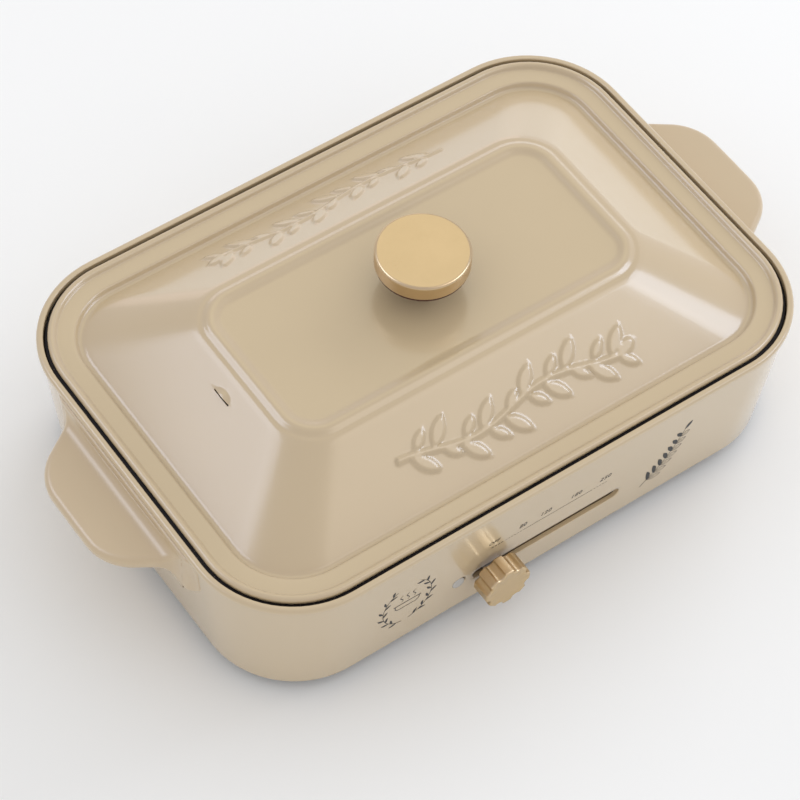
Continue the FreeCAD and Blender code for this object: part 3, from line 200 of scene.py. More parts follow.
# %% Ring of columns
class Ring:
    """Columns round a rectangle with rounded corners, counter-clockwise from the front left.

    Each column is a share along a straight side or an angle round a corner. A point is the
    corner's centre plus the radius times the column's direction."""

    def __init__(self, front, side, back=None, corner_steps=12):
        back = front if back is None else back
        turn = np.radians(np.linspace(0, 90, corner_steps + 1)[1:-1])
        columns = []
        for quarter, shares in enumerate((front, side, back[::-1], side[::-1])):
            flat = np.zeros(len(shares))
            straight = ((shares, flat - 1, flat, flat - 1), (flat + 1, shares, flat + 1, flat),
                        (shares, flat + 1, flat, flat + 1), (flat - 1, shares, flat - 1, flat))
            columns.append(np.array(straight[quarter]))
            angle = turn + (quarter - 1) * math.pi / 2
            centre_x, centre_y = ((1, -1), (1, 1), (-1, 1), (-1, -1))[quarter]
            corner = (0 * turn + centre_x, 0 * turn + centre_y, np.cos(angle), np.sin(angle))
            columns.append(np.array(corner))
        self.ax, self.ay, self.cx, self.cy = np.hstack(columns)
        self.count = len(self.ax)
        self.front = np.arange(len(front))
        side_start = len(front) + len(turn)
        back_start = side_start + len(side) + len(turn)
        left_start = back_start + len(back) + len(turn)
        self.right = side_start + np.arange(len(side))
        self.back = back_start + np.arange(len(back))
        self.left = left_start + np.arange(len(side))

    def points(self, rows):
        """Points of rows given as half length, half depth, corner radius and height."""
        x, y, radius, z = (np.asarray(rows, float)[:, k, None] for k in range(4))
        return np.stack([self.ax * (x - radius) + self.cx * radius,
                         self.ay * (y - radius) + self.cy * radius + MIDDLE_Y,
                         z + 0 * self.ax], -1)


# %% Turned pieces
def lathe(profile, centre, axis="z", steps=96):
    """Profile of radius and height turned about an axis through the centre. The first and
    last points lie on the axis or the profile closes on itself."""
    profile = np.asarray(profile, float)
    angle = np.linspace(0, 2 * math.pi, steps, endpoint=False)
    radius = profile[:, 0, None]
    height = profile[:, 1, None] + 0 * angle
    a, b = radius * np.cos(angle), radius * np.sin(angle)
    points = {"z": (a, b, height), "y": (b, height, a), "x": (height, a, b)}[axis]
    return grid_shell(np.stack(points, -1) + np.asarray(centre, float))


# %% [markdown]
# ## Lid
# The lid is one pressed sheet, 1.2 mm thick: a rolled bead that hangs inside the rim, a flat
# band, a small step, four slopes and a panel with a bead round it. It could be modelled from
# boxes and bevels, but a press makes one profile all round, so the same is done here: the
# profile runs from the hem over the top to the hole under the knob, back underneath, and
# closes on itself. The slopes carry a raised leaf sprig at the front and the back, and a
# hooded slit for the steam on the left, so there the grid is fine enough for them.

# %% Sizes of the lid
SHEET = 1.2
SLOPE_FOOT = np.array([21.0, -2.7])
SLOPE_TOP = np.array([58.8, 22.3])
PANEL_START = np.array([72.6, 23.2])
PANEL_INNER = 82.3
FOOT_CORNER = 28.5
TOP_CORNER = 23.5
SLOPE_ANGLE = math.atan2(*(SLOPE_TOP - SLOPE_FOOT)[::-1])
LEAN, RISE = math.sin(SLOPE_ANGLE), math.cos(SLOPE_ANGLE)
SCREW_HOLE = 2.45
VENT_INSET = 51.9
VENT_HALF = 5.5
VENT_GAP = 0.75 * RISE
PROFILE_STEPS = 3
print("slope", round(math.degrees(SLOPE_ANGLE), 1), "degrees, vent", round(VENT_GAP, 2), "mm wide")


# %% Lid profile
def smooth_line(points, steps):
    """Curve through the points: a cubic in each span whose end slopes are half the
    difference of the neighbours on both sides (a Catmull-Rom curve)."""
    p = np.asarray(points, float)
    p = np.vstack([2 * p[0] - p[1], p, 2 * p[-1] - p[-2]])
    t = np.linspace(0, 1, steps, endpoint=False)[None, :, None]
    a, b, c, d = (p[k:len(p) - 3 + k, None] for k in range(4))
    square = 2 * a - 5 * b + 4 * c - d
    cube = 3 * b - a - 3 * c + d
    curve = 0.5 * (2 * b + (c - a) * t + square * t ** 2 + cube * t ** 3)
    return np.vstack([curve.reshape(-1, 2), p[-2:-1]])


hem_bead = smooth_line([(5.4, -1.3), (5.2, -0.5), (5.1, 0.3), (5.4, 1.1), (6.1, 1.75), (6.9, 1.95),
                        (7.7, 1.8), (8.5, 1.15), (9.1, 0.35), (9.6, -0.02), (10.3, -0.12)], PROFILE_STEPS)
valley = smooth_line([(10.3, -0.12), (12.2, -0.12), (14.2, -0.13), (16.2, -0.15), (17.4, -0.4),
                      (18.1, -1.3), (18.7, -2.2), (19.5, -2.62), (20.3, -2.7), (20.9, -2.6),
                      (21.6, -2.3), (22.4, -1.77)], PROFILE_STEPS)[1:-1]
vent_rows = VENT_INSET + np.array([-VENT_GAP, 0, 0.2, 0.5, 0.9, 1.3, 1.7, 2.1, 2.5, 2.8])
relief_insets = np.arange(25.0, 50.3, 0.7)
slope_insets = np.sort(np.concatenate([[22.4, 23.6], relief_insets, vent_rows, [56.0]]))
slope_heights = np.interp(slope_insets, *np.stack([SLOPE_FOOT, SLOPE_TOP]).T)
slope_rows = np.stack([slope_insets, slope_heights], -1)
panel_bead = smooth_line([(57.3, 21.31), (58.5, 22.05), (60.3, 22.85), (62.2, 23.1), (63.4, 23.7),
                          (64.6, 24.4), (66.2, 24.7), (67.9, 24.4), (69.7, 23.7), (71.2, 23.3),
                          PANEL_START, (75.0, 23.2)], PROFILE_STEPS)[:-PROFILE_STEPS]
lid_top = np.vstack([hem_bead, valley, slope_rows, panel_bead])
print("lid profile", len(lid_top), "rows")

# %% Underside of the sheet
def moved_square(line, depth):
    """The line moved by a depth to its right-hand side, square to its own direction."""
    along = directions(line)
    return line + depth * np.stack([along[:, 1], -along[:, 0]], -1)


slope_under = moved_square(slope_rows, SHEET)
vent_under = slope_under[np.searchsorted(slope_insets, vent_rows)]
coarse = slope_under[[6, 18, 30]]
bead_under = moved_square(panel_bead, SHEET)[::PROFILE_STEPS]
hem_under = np.array([(6.5, -1.3), (6.3, 0.2), (6.5, 0.65), (6.9, 0.75), (7.3, 0.5), (8.1, -0.6),
                      (9.4, -1.3), (15.7, -1.38), (16.6, -1.8), (17.6, -2.9), (18.9, -3.7),
                      (21.0, -3.85)])
lid_below = np.vstack([hem_under, coarse, vent_under, slope_under[-1:], bead_under])
print("underside", len(lid_below), "rows")


# %% Lid outline at every row
def lid_rows(line):
    """Half length, half depth, corner radius and height at each inset. The corner radius
    shrinks with the inset on the band, and more slowly on the slopes."""
    inset, height = line.T
    corner = np.interp(inset, [0, SLOPE_FOOT[0], SLOPE_TOP[0], PANEL_INNER],
                       [RIM_CORNER, FOOT_CORNER, TOP_CORNER, 0.0])
    return np.stack([RIM[0] - inset, RIM[1] - inset, corner, RIM_PLANE + height], -1)


def panel_rows(height, count=7):
    """Rows from the panel's edge to the hole, whose outline turns from a rectangle to a circle."""
    share = np.linspace(0, 1, count)[1:, None] ** 0.8
    edge = lid_rows(PANEL_START[None])[:, :3]
    rows = edge * (1 - share) + SCREW_HOLE * share
    return np.hstack([rows, np.full_like(share, height)])


vent_row = lid_rows(np.array([[VENT_INSET, 0.0]]))[0]
vent_share = VENT_HALF / (vent_row[1] - vent_row[2])
relief_shares = np.linspace(-0.78, 0.78, 185)
front_shares = np.concatenate([[-1, -0.93, -0.87, -0.82], relief_shares, [0.82, 0.87, 0.93, 1]])
hood_shares = np.linspace(-vent_share, vent_share, 17)[1:-1]
side_shares = np.concatenate([np.linspace(-1, -vent_share, 9), hood_shares, np.linspace(vent_share, 1, 9)])
SLIT = slice(8, 25)
lid_ring = Ring(front_shares, side_shares, corner_steps=16)
top_rows = np.vstack([lid_rows(lid_top), panel_rows(RIM_PLANE + PANEL_START[1])])
below_rows = np.vstack([lid_rows(lid_below), panel_rows(RIM_PLANE + PANEL_START[1] - SHEET)])
print("lid grid", len(top_rows) + len(below_rows), "x", lid_ring.count)


# %% Raised leaf sprig
STEM_WAVE = 3.4
STEM_PACE = 13.0
STEM_END = 57.0
RELIEF = 0.95


def leaf(a, b, foot, tip, width):
    """Distance inside a leaf's edge: half the width times one minus the squared share of
    the length, less the distance from the midrib. A groove marks the midrib."""
    foot, tip = np.array(foot), np.array(tip)
    length = np.linalg.norm(tip - foot)
    along = (tip - foot) / length
    u = (a - foot[0]) * along[0] + (b - foot[1]) * along[1]
    v = (b - foot[1]) * along[0] - (a - foot[0]) * along[1]
    share = np.clip(2 * u / length - 1, -1.2, 1.2)
    inside = width / 2 * (1 - share ** 2) - np.abs(v)
    return inside - 0.9 * np.exp(-(v / 0.55) ** 2) * (inside > 0.6)


def sprig(a, b):
    """Height of the relief: the greatest distance inside the stem, which is a sine wave, or
    inside any leaf, brought to 0 to 1 and smoothed by 3 r squared less 2 r cubed."""
    inside = np.where(np.abs(a) < 60, 1.5 - np.abs(b - STEM_WAVE * np.sin(a / STEM_PACE)) * 0.92, -5)
    for k, foot_a in enumerate(np.arange(-54, 55, 12.0)):
        foot_b = STEM_WAVE * math.sin(foot_a / STEM_PACE)
        side = 1 if k % 2 else -1
        large_tip = (foot_a + 11.5, foot_b + side * 12.5)
        small_tip = (foot_a + 12.5, foot_b - side * 8.5)
        inside = np.maximum(inside, leaf(a, b, (foot_a, foot_b), large_tip, 6.6))
        inside = np.maximum(inside, leaf(a, b, (foot_a + 3, foot_b), small_tip, 5.0))
    stem_foot = (STEM_END, STEM_WAVE * math.sin(STEM_END / STEM_PACE))
    inside = np.maximum(inside, leaf(a, b, stem_foot, (69, 0.5), 6.5))
    rise = np.clip((inside + 0.35) / 1.3, 0, 1)
    return rise * rise * (3 - 2 * rise)


# %% Hood of the steam vent
HOOD_HEIGHT = 1.5
HOOD_REACH = 3.2


def hood(insets, y, first, last):
    """Height of half a shallow cone over the slope, at each inset and each Y. It stands
    highest at the slit's middle and falls to the slope on a half ellipse: the height less
    the ellipse's radius to the power 1.7. Only insets from the first to the last have it."""
    up = ((insets - VENT_INSET) / RISE)[:, None]
    radius = np.hypot((y - MIDDLE_Y) / (VENT_HALF + 0.1), up / HOOD_REACH)
    height = np.where(up > -0.05, HOOD_HEIGHT * (1 - np.clip(radius, 0, 1) ** 1.7), 0.0)
    return height * ((insets > first) & (insets < last))[:, None]


def lid_points(rows, insets):
    """Ring points moved square to their slope by the relief at the front and the back and by
    the hood on the left."""
    points = lid_ring.points(rows)
    up = (insets - 40.0)[:, None] / RISE
    on_slope = ((insets > 24) & (insets < 57))[:, None]
    for columns, turn in ((lid_ring.front, 1), (lid_ring.back, -1)):
        height = RELIEF * sprig(turn * points[:, columns, 0], up + 1.5) * on_slope
        points[:, columns, 1] -= turn * LEAN * height
        points[:, columns, 2] += RISE * height
    columns = lid_ring.left
    height = hood(insets, points[:, columns, 1], 24, 57)
    points[:, columns, 0] -= LEAN * height
    points[:, columns, 2] += RISE * height
    return points


# %% Close the lid and cut the slit
def lid_shell():
    """Top rows and underside rows in one closed strip. The faces of the slit are left out on
    both sides, and four strips of faces join the two borders."""
    top = lid_points(top_rows, RIM[0] - top_rows[:, 0])
    below = lid_ring.points(below_rows)
    columns = lid_ring.left
    height = hood(RIM[0] - below_rows[:, 0] - SHEET * LEAN, below[:, columns, 1], 49, 56)
    below[:, columns, 0] -= LEAN * height
    below[:, columns, 2] += RISE * height
    points = np.vstack([top, below[::-1]])
    faces = grid_faces(*points.shape[:2], wrap_rows=True)
    top_row = len(hem_bead) + len(valley) + np.searchsorted(slope_insets, vent_rows[0])
    below_row = len(points) - 1 - (len(hem_under) + len(coarse))
    slit = lid_ring.left[SLIT]
    keep = np.ones(faces.shape[:2], bool)
    keep[top_row, slit[:-1]] = False
    keep[below_row - 1, slit[:-1]] = False
    upper = np.array([top_row, top_row + 1]) * lid_ring.count
    lower = np.array([below_row, below_row - 1]) * lid_ring.count
    walls = [strip_between(upper[0] + slit, lower[0] + slit, 1),
             strip_between(upper[1] + slit, lower[1] + slit, -1),
             strip_between(upper + slit[0], lower + slit[0], -1),
             strip_between(upper + slit[-1], lower + slit[-1], 1)]
    return points.reshape(-1, 3), np.vstack([faces[keep], *walls])


make_piece("lid_pressing", [lid_shell()], "lid", "paint", ["lid_shell"], 50)

# %% [markdown]
# ## Housing
# The housing is drawn from sheet: a wall that narrows a little towards the table, a rolled
# rim, and inside it a ledge for the cooking plate. One profile carries all of this, up the
# outside, over the rim, down to the ledge and down the inside. The lever's slot, the lamp's
# hole and the power inlet are places where faces are left out. The grid's lines around such
# a place are drawn onto its rounded outline, so that no Boolean is needed and the paint
# reflects without dents.

# %% Wall and rim
WALL = 2.2
FOOT_Z = 8.0
RIM_LOW = 75.4
LEDGE_Z = (73.1, 70.6)
LEDGE_INSET = 9.5
SLOT_Z = 28.5
SLOT_RADIUS = 3.5
SLOT_CORE = 38.5
LAMP = (-49.5, 30.0)
LAMP_RADIUS = 3.4
INLET_X = 60.0
INLET_HALF = (20.8, 9.8)
INLET_CORNER = 3.0
OVERHANG = 1.3
RIM_WIDTH = 3.2
TAPER = (6.2, 5.2, 3.6)
WALL_LEAN = TAPER[1] / (RIM_LOW - FOOT_Z)
LIP_LINES = np.array([0.35, 1.6])


def wall_rows(z, depth=0.0):
    """The wall's outline at each height: from the rim to the foot it loses the taper's half
    length, half depth and corner radius, in proportion to the height."""
    z = np.atleast_1d(np.asarray(z, float))
    share = (RIM_LOW - z) / (RIM_LOW - FOOT_Z)
    inset = OVERHANG + depth
    at_rim = (RIM[0], RIM[1], RIM_CORNER)
    return np.stack([size - inset - loss * share for size, loss in zip(at_rim, TAPER)] + [z], -1)


def inset_rows(line):
    """Rows whose outline is the rim's, drawn in by the inset that each point states."""
    inset, z = np.asarray(line, float).T
    return np.stack([RIM[0] - inset, RIM[1] - inset, RIM_CORNER - inset, z], -1)


def hole_lines(core, radius):
    """Grid lines through a hole of half size core + radius: those that its corner arcs need,
    15 degrees apart up to its border, and two just outside for the rounded lip."""
    corner = radius * np.tan(np.radians([15, 30, 45]))
    return np.concatenate([core + corner, core + radius + LIP_LINES])


def both(lines, middle=0.0):
    """The lines on both sides of a middle, and the middle."""
    return np.concatenate([middle - lines, [middle], middle + lines])


def in_order(*lines):
    """All the lines' values once, in rising order."""
    return np.unique(np.round(np.concatenate(lines), 4))


slot_z = both(hole_lines(0.0, SLOT_RADIUS), SLOT_Z)
lamp_z = both(hole_lines(0.0, LAMP_RADIUS), LAMP[1])
inlet_z = both(hole_lines(INLET_HALF[1] - INLET_CORNER, INLET_CORNER), SLOT_Z)
wall_z = in_order(slot_z, lamp_z, inlet_z, [9.0, 12.0, 15.0], [42.0, 47.0, 52.0, 58.0, 64.0, 69.0])
foot_z = np.array([FOOT_Z, FOOT_Z + 0.3])
rim_line = rounded_line([(OVERHANG, RIM_LOW), (0, RIM_LOW), (0, RIM_TOP), (RIM_WIDTH, RIM_TOP),
                         (RIM_WIDTH, LEDGE_Z[0]), (LEDGE_INSET, LEDGE_Z[0]), (LEDGE_INSET, LEDGE_Z[1]),
                         (6, LEDGE_Z[1])], [0.7, 1.5, 0.7, 0.5, 0.3, 0.3], 6)
outside = [wall_rows(foot_z), wall_rows(wall_z), wall_rows([RIM_LOW - 1.2]), inset_rows(rim_line)]
inside = [wall_rows([LEDGE_Z[1]], WALL), wall_rows(wall_z[::-1], WALL), wall_rows(foot_z[::-1], WALL)]
housing_rows = np.vstack(outside + inside)
print("housing profile", len(housing_rows), "rows")

# %% Columns of the housing
slot_x = both(hole_lines(SLOT_CORE, SLOT_RADIUS))
lamp_x = both(hole_lines(0.0, LAMP_RADIUS), LAMP[0])
inlet_x = both(hole_lines(INLET_HALF[0] - INLET_CORNER, INLET_CORNER), INLET_X)
reach_x = RIM[0] - RIM_CORNER
front_x = in_order(slot_x, lamp_x, np.linspace(-36, 36, 13), np.arange(-108, -57, 9.0),
                   np.arange(49, 108, 9.0), [-reach_x, reach_x])
back_x = in_order(inlet_x, np.arange(-108, 36, 9.0), [90, 99, -reach_x, reach_x])
housing_ring = Ring(front_x / reach_x, np.linspace(-1, 1, 15), back_x / reach_x, corner_steps=18)
print("housing columns", housing_ring.count)


def pull(x, z, middle, core, radius, lip=2.4):
    """Draws the square lines round a hole onto its round outline. About each corner's centre
    the distance along the greater axis becomes the distance itself, and the change fades to
    nothing over the lip."""
    dx, dz = x - middle[0], z - middle[1]
    px = np.maximum(np.abs(dx) - core[0], 0)
    pz = np.maximum(np.abs(dz) - core[1], 0)
    square = np.maximum(px, pz)
    round_ = np.maximum(np.hypot(px, pz), 1e-9)
    fade = np.clip(1 - (square - radius) / lip, 0, 1) * (square > 0)
    gain = 1 + (square / round_ - 1) * fade
    new_x = middle[0] + np.sign(dx) * (np.minimum(np.abs(dx), core[0]) + px * gain)
    new_z = middle[1] + np.sign(dz) * (np.minimum(np.abs(dz), core[1]) + pz * gain)
    return new_x, new_z


# %% Build the housing with its holes
TOUCH = 0.001
LIP_DEPTH = 0.35
HOLES = [((0.0, SLOT_Z), (SLOT_CORE, 0.0), SLOT_RADIUS, -1),
         (LAMP, (0.0, 0.0), LAMP_RADIUS, -1),
         ((INLET_X, SLOT_Z), (INLET_HALF[0] - INLET_CORNER, INLET_HALF[1] - INLET_CORNER), INLET_CORNER, 1)]


def housing_shell():
    """The closed strip of the housing with the holes left out, on the front wall where the
    side is -1 and on the back wall where it is 1. A point that is drawn up or down the wall
    also moves with its lean. Faces between the two borders of a hole line it."""
    points = housing_ring.points(housing_rows)
    count, columns = points.shape[:2]
    faces = grid_faces(count, columns, wrap_rows=True)
    keep = np.ones(faces.shape[:2], bool)
    outer = len(foot_z) + np.arange(len(wall_z))
    inner = count - 1 - outer
    walls = []
    for middle, core, radius, side in HOLES:
        run = housing_ring.front if side < 0 else housing_ring.back
        x_line = housing_ring.ax[run] * reach_x
        x, z = np.broadcast_arrays(x_line[None, :], wall_z[:, None])
        new_x, new_z = pull(x, z, middle, core, radius)
        move = np.stack([new_x - x, side * WALL_LEAN * (new_z - z), new_z - z], -1)
        for rows in (outer, inner):
            points[np.ix_(rows, run)] += move
        row = np.flatnonzero(np.abs(wall_z - middle[1]) < core[1] + radius + TOUCH)
        column = run[np.abs(x_line - middle[0]) < core[0] + radius + TOUCH]
        keep[np.ix_(outer[row[:-1]], column[:-1])] = False
        keep[np.ix_(inner[row[1:]], column[:-1])] = False
        points[np.ix_(outer[row], column, [1])] -= side * LIP_DEPTH
        first, last = outer[row[[0, -1]]] * columns, inner[row[[0, -1]]] * columns
        walls += [strip_between(first[0] + column, last[0] + column, 1),
                  strip_between(first[1] + column, last[1] + column, -1)]
        first, last = outer[row] * columns, inner[row] * columns
        walls += [strip_between(first + column[0], last + column[0], -1),
                  strip_between(first + column[-1], last + column[-1], 1)]
    return points.reshape(-1, 3), np.vstack([faces[keep], *walls])


# %% Bosses inside the housing
BOSS = (127.0, 78.0)


def pin(x, y, z0, z1, radius, bore, depth):
    """Turned boss with a blind hole in its upper end."""
    lift = z1 - z0
    profile = [(0, 0), (radius, 0), (radius, lift), (bore, lift), (bore, lift - depth), (0, lift - depth)]
    return lathe(profile, (x, y, z0), steps=32)


def rib_box(x, y, reach, angle, half, z0, z1):
    """Thin upright plate from a boss towards the corner of the wall."""
    u = np.array([math.cos(angle), math.sin(angle)])
    v = np.array([-u[1], u[0]])
    corners = ((3, -half), (reach, -half), (reach, half), (3, half))
    flat = np.array([(x, y) + u * a + v * b for a, b in corners])
    points = np.vstack([np.c_[flat, np.full(4, z)] for z in (z0, z1)])
    faces = np.array([(0, 3, 2, 1), (4, 5, 6, 7), (0, 1, 5, 4), (1, 2, 6, 5), (2, 3, 7, 6), (3, 0, 4, 7)])
    return points, faces


bosses = []
for sx in (-1, 1):
    for sy in (-1, 1):
        x, y = sx * BOSS[0], sy * BOSS[1] + MIDDLE_Y
        bosses.append(pin(x, y, 9.6, 45.8, 4.5, 1.5, 12.0))
        bosses.append(rib_box(x, y, 12.0, math.atan2(sy, sx), 1.1, 12.0, 44.0))
make_piece("housing_shell", [housing_shell()] + bosses, "base", "paint", ["outer_housing"], 40)

# %% [markdown]
# ## Handles
# Each handle is one moulding: a skirt that lies on the end wall under the rim, and a flat
# grip that grows out of it with a hollow curve. The grip could be a subdivided block, but
# its outline and its side view are both known, so it is worked out from them. Each column
# runs from the skirt straight out to the grip's outline, round its edge and back below. The
# height of each point comes from how far it is from the skirt, and the rounded edge is a
# quarter circle drawn in from the outline, above and below.

# %% Sizes of the handles
SKIRT_X = RIM[0] - OVERHANG + 2.2
SKIRT_HALF = 57.5
SKIRT_Z = (RIM_PLANE - 27.0, RIM_LOW + 0.4)
SKIRT_DEPTH = 5.6
TIP_X = RIM[0] + 28.2
TIP_HALF = 27.6
TIP_CORNER = 24.6
ROOT_HALF = 45.0
ROOT_CORNER = 7.0
ROOT_X = SKIRT_X - 0.05
TIP_BOW = 0.35
GRIP_TOP = RIM_PLANE - 9.9
GRIP_SLOPE = 1.6
GRIP_SHEET = 6.4
HOLLOW_ABOVE = 5.0
HOLLOW_BELOW = 8.0
EDGE_RADIUS = 2.7
EDGE_RUN = 5.0
THIN_FROM = 48.5
THIN_SHEET = 0.5
SPINE_INSET = 13.0
print("handle reaches", round(TIP_X - SKIRT_X, 1), "mm out of its skirt")


# %% Grip
def hollow_rise(run, radius):
    """Height of the hollow curve over the grip at a distance from the skirt: a quarter
    circle that is upright at the skirt and level at its radius."""
    run = np.clip(run, 0, radius)
    return radius - np.sqrt(radius ** 2 - (radius - run) ** 2)


def evenly(line, step):
    """The line's points and further ones between them, at most a step apart."""
    place = np.concatenate([[0], np.cumsum(np.linalg.norm(np.diff(line, axis=0), axis=1))])
    fine = np.linspace(0, place[-1], int(place[-1] / step) + 1)
    return np.stack([np.interp(fine, place, line[:, k]) for k in range(line.shape[1])], -1)


def on_side(points, side, wrap):
    """The grid's points mirrored to the left for a side of -1, with faces that still look
    outwards."""
    points, faces = grid_shell(points * (side, 1, 1) + (0, MIDDLE_Y, 0), wrap)
    return points, faces[:, ::side]


def grip_shell(side):
    """Rows that run from the skirt over the top to the outline, round its edge, and back to
    the skirt underneath. Each column keeps its place along the wall, so no line fans out.
    The edge's radius grows from nothing over its first run, and the rows crowd towards the
    skirt, where the hollow curve is."""
    quarter = rounded_line([(ROOT_X, 52.0), (ROOT_X, ROOT_HALF), (TIP_X, TIP_HALF), (TIP_X, 0.0)],
                           [ROOT_CORNER, TIP_CORNER], 40)
    quarter = evenly(quarter[quarter[:, 1] <= 50.5], 0.9)
    outline = np.vstack([quarter, quarter[-2::-1] * (1, -1)])
    run = outline[:, 0] - SKIRT_X
    outline[:, 0] -= TIP_BOW * (outline[:, 1] / TIP_HALF) ** 2 * run / (TIP_X - SKIRT_X)
    along = directions(outline)
    inward = np.stack([along[:, 1], -along[:, 0]], -1)
    radius = EDGE_RADIUS * np.clip((outline[:, 0] - SKIRT_X) / EDGE_RUN, 0, 1) ** 0.6
    turn = np.radians(np.linspace(0, 90, 9))[:, None]
    edge = outline + inward * (radius * (1 - np.cos(turn)))[..., None]
    drop = radius * (1 - np.sin(turn))
    share = np.array([0.93, 0.8, 0.64, 0.5, 0.38, 0.28, 0.21, 0.16, 0.12, 0.085, 0.055, 0.03, 0.01, 0])
    fill_x = ROOT_X + (edge[-1, :, 0] - ROOT_X) * share[:, None]
    fill_x[-1] = SKIRT_X - 2.6
    fill = np.stack([fill_x, np.broadcast_to(edge[-1, :, 1], fill_x.shape)], -1)
    flat = np.vstack([edge, fill])
    drop = np.vstack([drop, 0 * fill_x])
    reach = np.clip(flat[..., 0] - SKIRT_X, 0, None)
    tilt = GRIP_SLOPE * reach / (TIP_X - SKIRT_X)
    top = GRIP_TOP - tilt + hollow_rise(reach, HOLLOW_ABOVE) - drop
    low = GRIP_TOP - GRIP_SLOPE - GRIP_SHEET - 1.2 * hollow_rise(reach, HOLLOW_BELOW) + drop
    points = np.vstack([np.dstack([flat, low])[::-1], np.dstack([flat, top])])
    return on_side(points, side, wrap=False)


# %% Skirt
def skirt_shell(side, edge_radius=0.9):
    """Plate with rounded lower corners and edges: rings of its outline in Y and Z, from the
    wall outwards, round the edge and in to the middle of the face. Towards its ends the plate
    thins out to half a millimetre, so that it flows into the wall."""
    half, low, high = SKIRT_HALF, *SKIRT_Z
    outline = rounded_line([(0, high), (-half, high), (-half, low), (half, low), (half, high), (0, high)],
                           [0.8, 6.0, 6.0, 0.8], 10)
    place = np.concatenate([[0], np.cumsum(np.linalg.norm(np.diff(outline, axis=0), axis=1))])
    fine = np.unique(np.concatenate([place, np.arange(0, place[-1], 3.0)]))[:-1]
    outline = np.stack([np.interp(fine, place, outline[:, k]) for k in range(2)], -1)
    centre = np.array([0.0, (low + high) / 2])
    along = directions(np.vstack([outline[-1:], outline, outline[:1]]))[1:-1]
    inward = np.stack([-along[:, 1], along[:, 0]], -1)
    inward = inward * np.sign(np.einsum("ij,ij->i", inward, centre - outline))[:, None]
    spine_y = np.clip(outline[:, 0], SPINE_INSET - half, half - SPINE_INSET)
    spine = np.c_[spine_y, np.full(len(outline), centre[1])]
    wall_x = np.full(len(outline), SKIRT_X - SKIRT_DEPTH)
    rings = [np.c_[wall_x, outline * (1 - share) + spine * share] for share in (1.0, 0.5, 0.0)]
    for angle in np.radians(np.linspace(0, 90, 6)):
        inner = outline + inward * edge_radius * (1 - math.cos(angle))
        rings.append(np.c_[np.full(len(outline), SKIRT_X - edge_radius * (1 - math.sin(angle))), inner])
    for share in (0.08, 0.18, 0.3, 0.45, 0.65, 1.0):
        rings.append(np.c_[np.full(len(outline), SKIRT_X), inner * (1 - share) + spine * share])
    points = np.stack(rings)
    x, y, z = np.moveaxis(points, -1, 0)
    thin = np.clip((np.abs(y) - THIN_FROM) / (half - THIN_FROM), 0, 1)
    thin = thin ** 2 * (3 - 2 * thin) * (x > SKIRT_X - 3)
    thickness = SKIRT_X - wall_rows(z.ravel())[:, 0].reshape(z.shape)
    points[..., 0] = x - thin * (thickness - THIN_SHEET)
    return on_side(points, side, wrap=True)


for side, name in ((-1, "left_handle"), (1, "right_handle")):
    make_piece(name + "_moulding", [skirt_shell(side), grip_shell(side)], "base", "grip_paint", [name], 40)

# %% [markdown]
# ## Knob of the lid
# The knob is a metal cap on a dark heat-proof collar and neck. All of it is turned on a
# lathe, so a profile goes round the axis. The cap's face is very slightly dished, and its
# upper edge is rounded, which draws the thin bright ring.

# %% Cap, collar and neck
CAP_RADIUS = 21.8
CAP_HEIGHT = 8.2
DISH_RADIUS = 20.3
DISH_DEPTH = 0.5
BORE_RADIUS = 2.6
BORE_DEPTH = 4.5
COLLAR_RADIUS = 21.3
NECK_RADIUS = 8.5
cap_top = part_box("lid_knob")[1].z / MM
cap_low = cap_top - CAP_HEIGHT
neck_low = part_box("knob_insulator")[0].z / MM
dish_r = np.linspace(0, DISH_RADIUS, 12)
dish = np.c_[dish_r, cap_top - DISH_DEPTH * (1 - (dish_r / DISH_RADIUS) ** 2)]
cap_side = rounded_line([dish[-1], (CAP_RADIUS, cap_top), (CAP_RADIUS, cap_low),
                         (CAP_RADIUS - 1.2, cap_low), (BORE_RADIUS, cap_low)], [1.3, 0.6, 0.3], 8)
cap_bore = [(BORE_RADIUS, cap_low + BORE_DEPTH), (0, cap_low + BORE_DEPTH)]
cap_profile = np.vstack([dish, cap_side[1:], cap_bore])
make_piece("knob_cap", [lathe(cap_profile, (0, MIDDLE_Y, 0), steps=160)], "lid", "gold", ["lid_knob"], 32)
shoulder = cap_low - 1.6
neck_profile = rounded_line([(BORE_RADIUS, neck_low), (9.4, neck_low), (9.4, neck_low + 1.4),
                             (NECK_RADIUS, neck_low + 3.0), (NECK_RADIUS, shoulder - 2.4), (13.0, shoulder),
                             (COLLAR_RADIUS, shoulder), (COLLAR_RADIUS, cap_low), (BORE_RADIUS, cap_low)],
                            [0.3, 0.3, 0.8, 1.6, 2.0, 0.5, 0.2], 5)
neck_profile = np.vstack([neck_profile, neck_profile[:1]])
make_piece("knob_neck", [lathe(neck_profile, (0, MIDDLE_Y, 0), steps=128)], "lid", "dark_resin",
           ["knob_insulator"], 32)

# %% [markdown]
# ## Heat lever and pilot lamp
# The lever's knob is a short round bar with eight scallops cut along its side for the
# fingers. Its section is a radius that changes with the angle, so the whole knob is one
# grid of angle and profile. Carving it would need eight cuts and leave sharp, thin faces.
# The lens of the pilot lamp is a small turned button with a flange behind the wall, so it
# is one profile on the lathe.

# %% Scalloped knob
def scalloped(radius, flute, depth, count, angle):
    """Radius at each angle: the circle, less what circles of the flute's radius cut away.
    A flute's centre lies outside by the flute's radius less its depth."""
    centre = radius + flute - depth
    offset = (angle + math.pi / count) % (2 * math.pi / count) - math.pi / count
    inside = flute ** 2 - (centre * np.sin(offset)) ** 2
    cut = centre * np.cos(offset) - np.sqrt(np.clip(inside, 0, None))
    return np.where(inside > 0, np.minimum(cut, radius), radius)


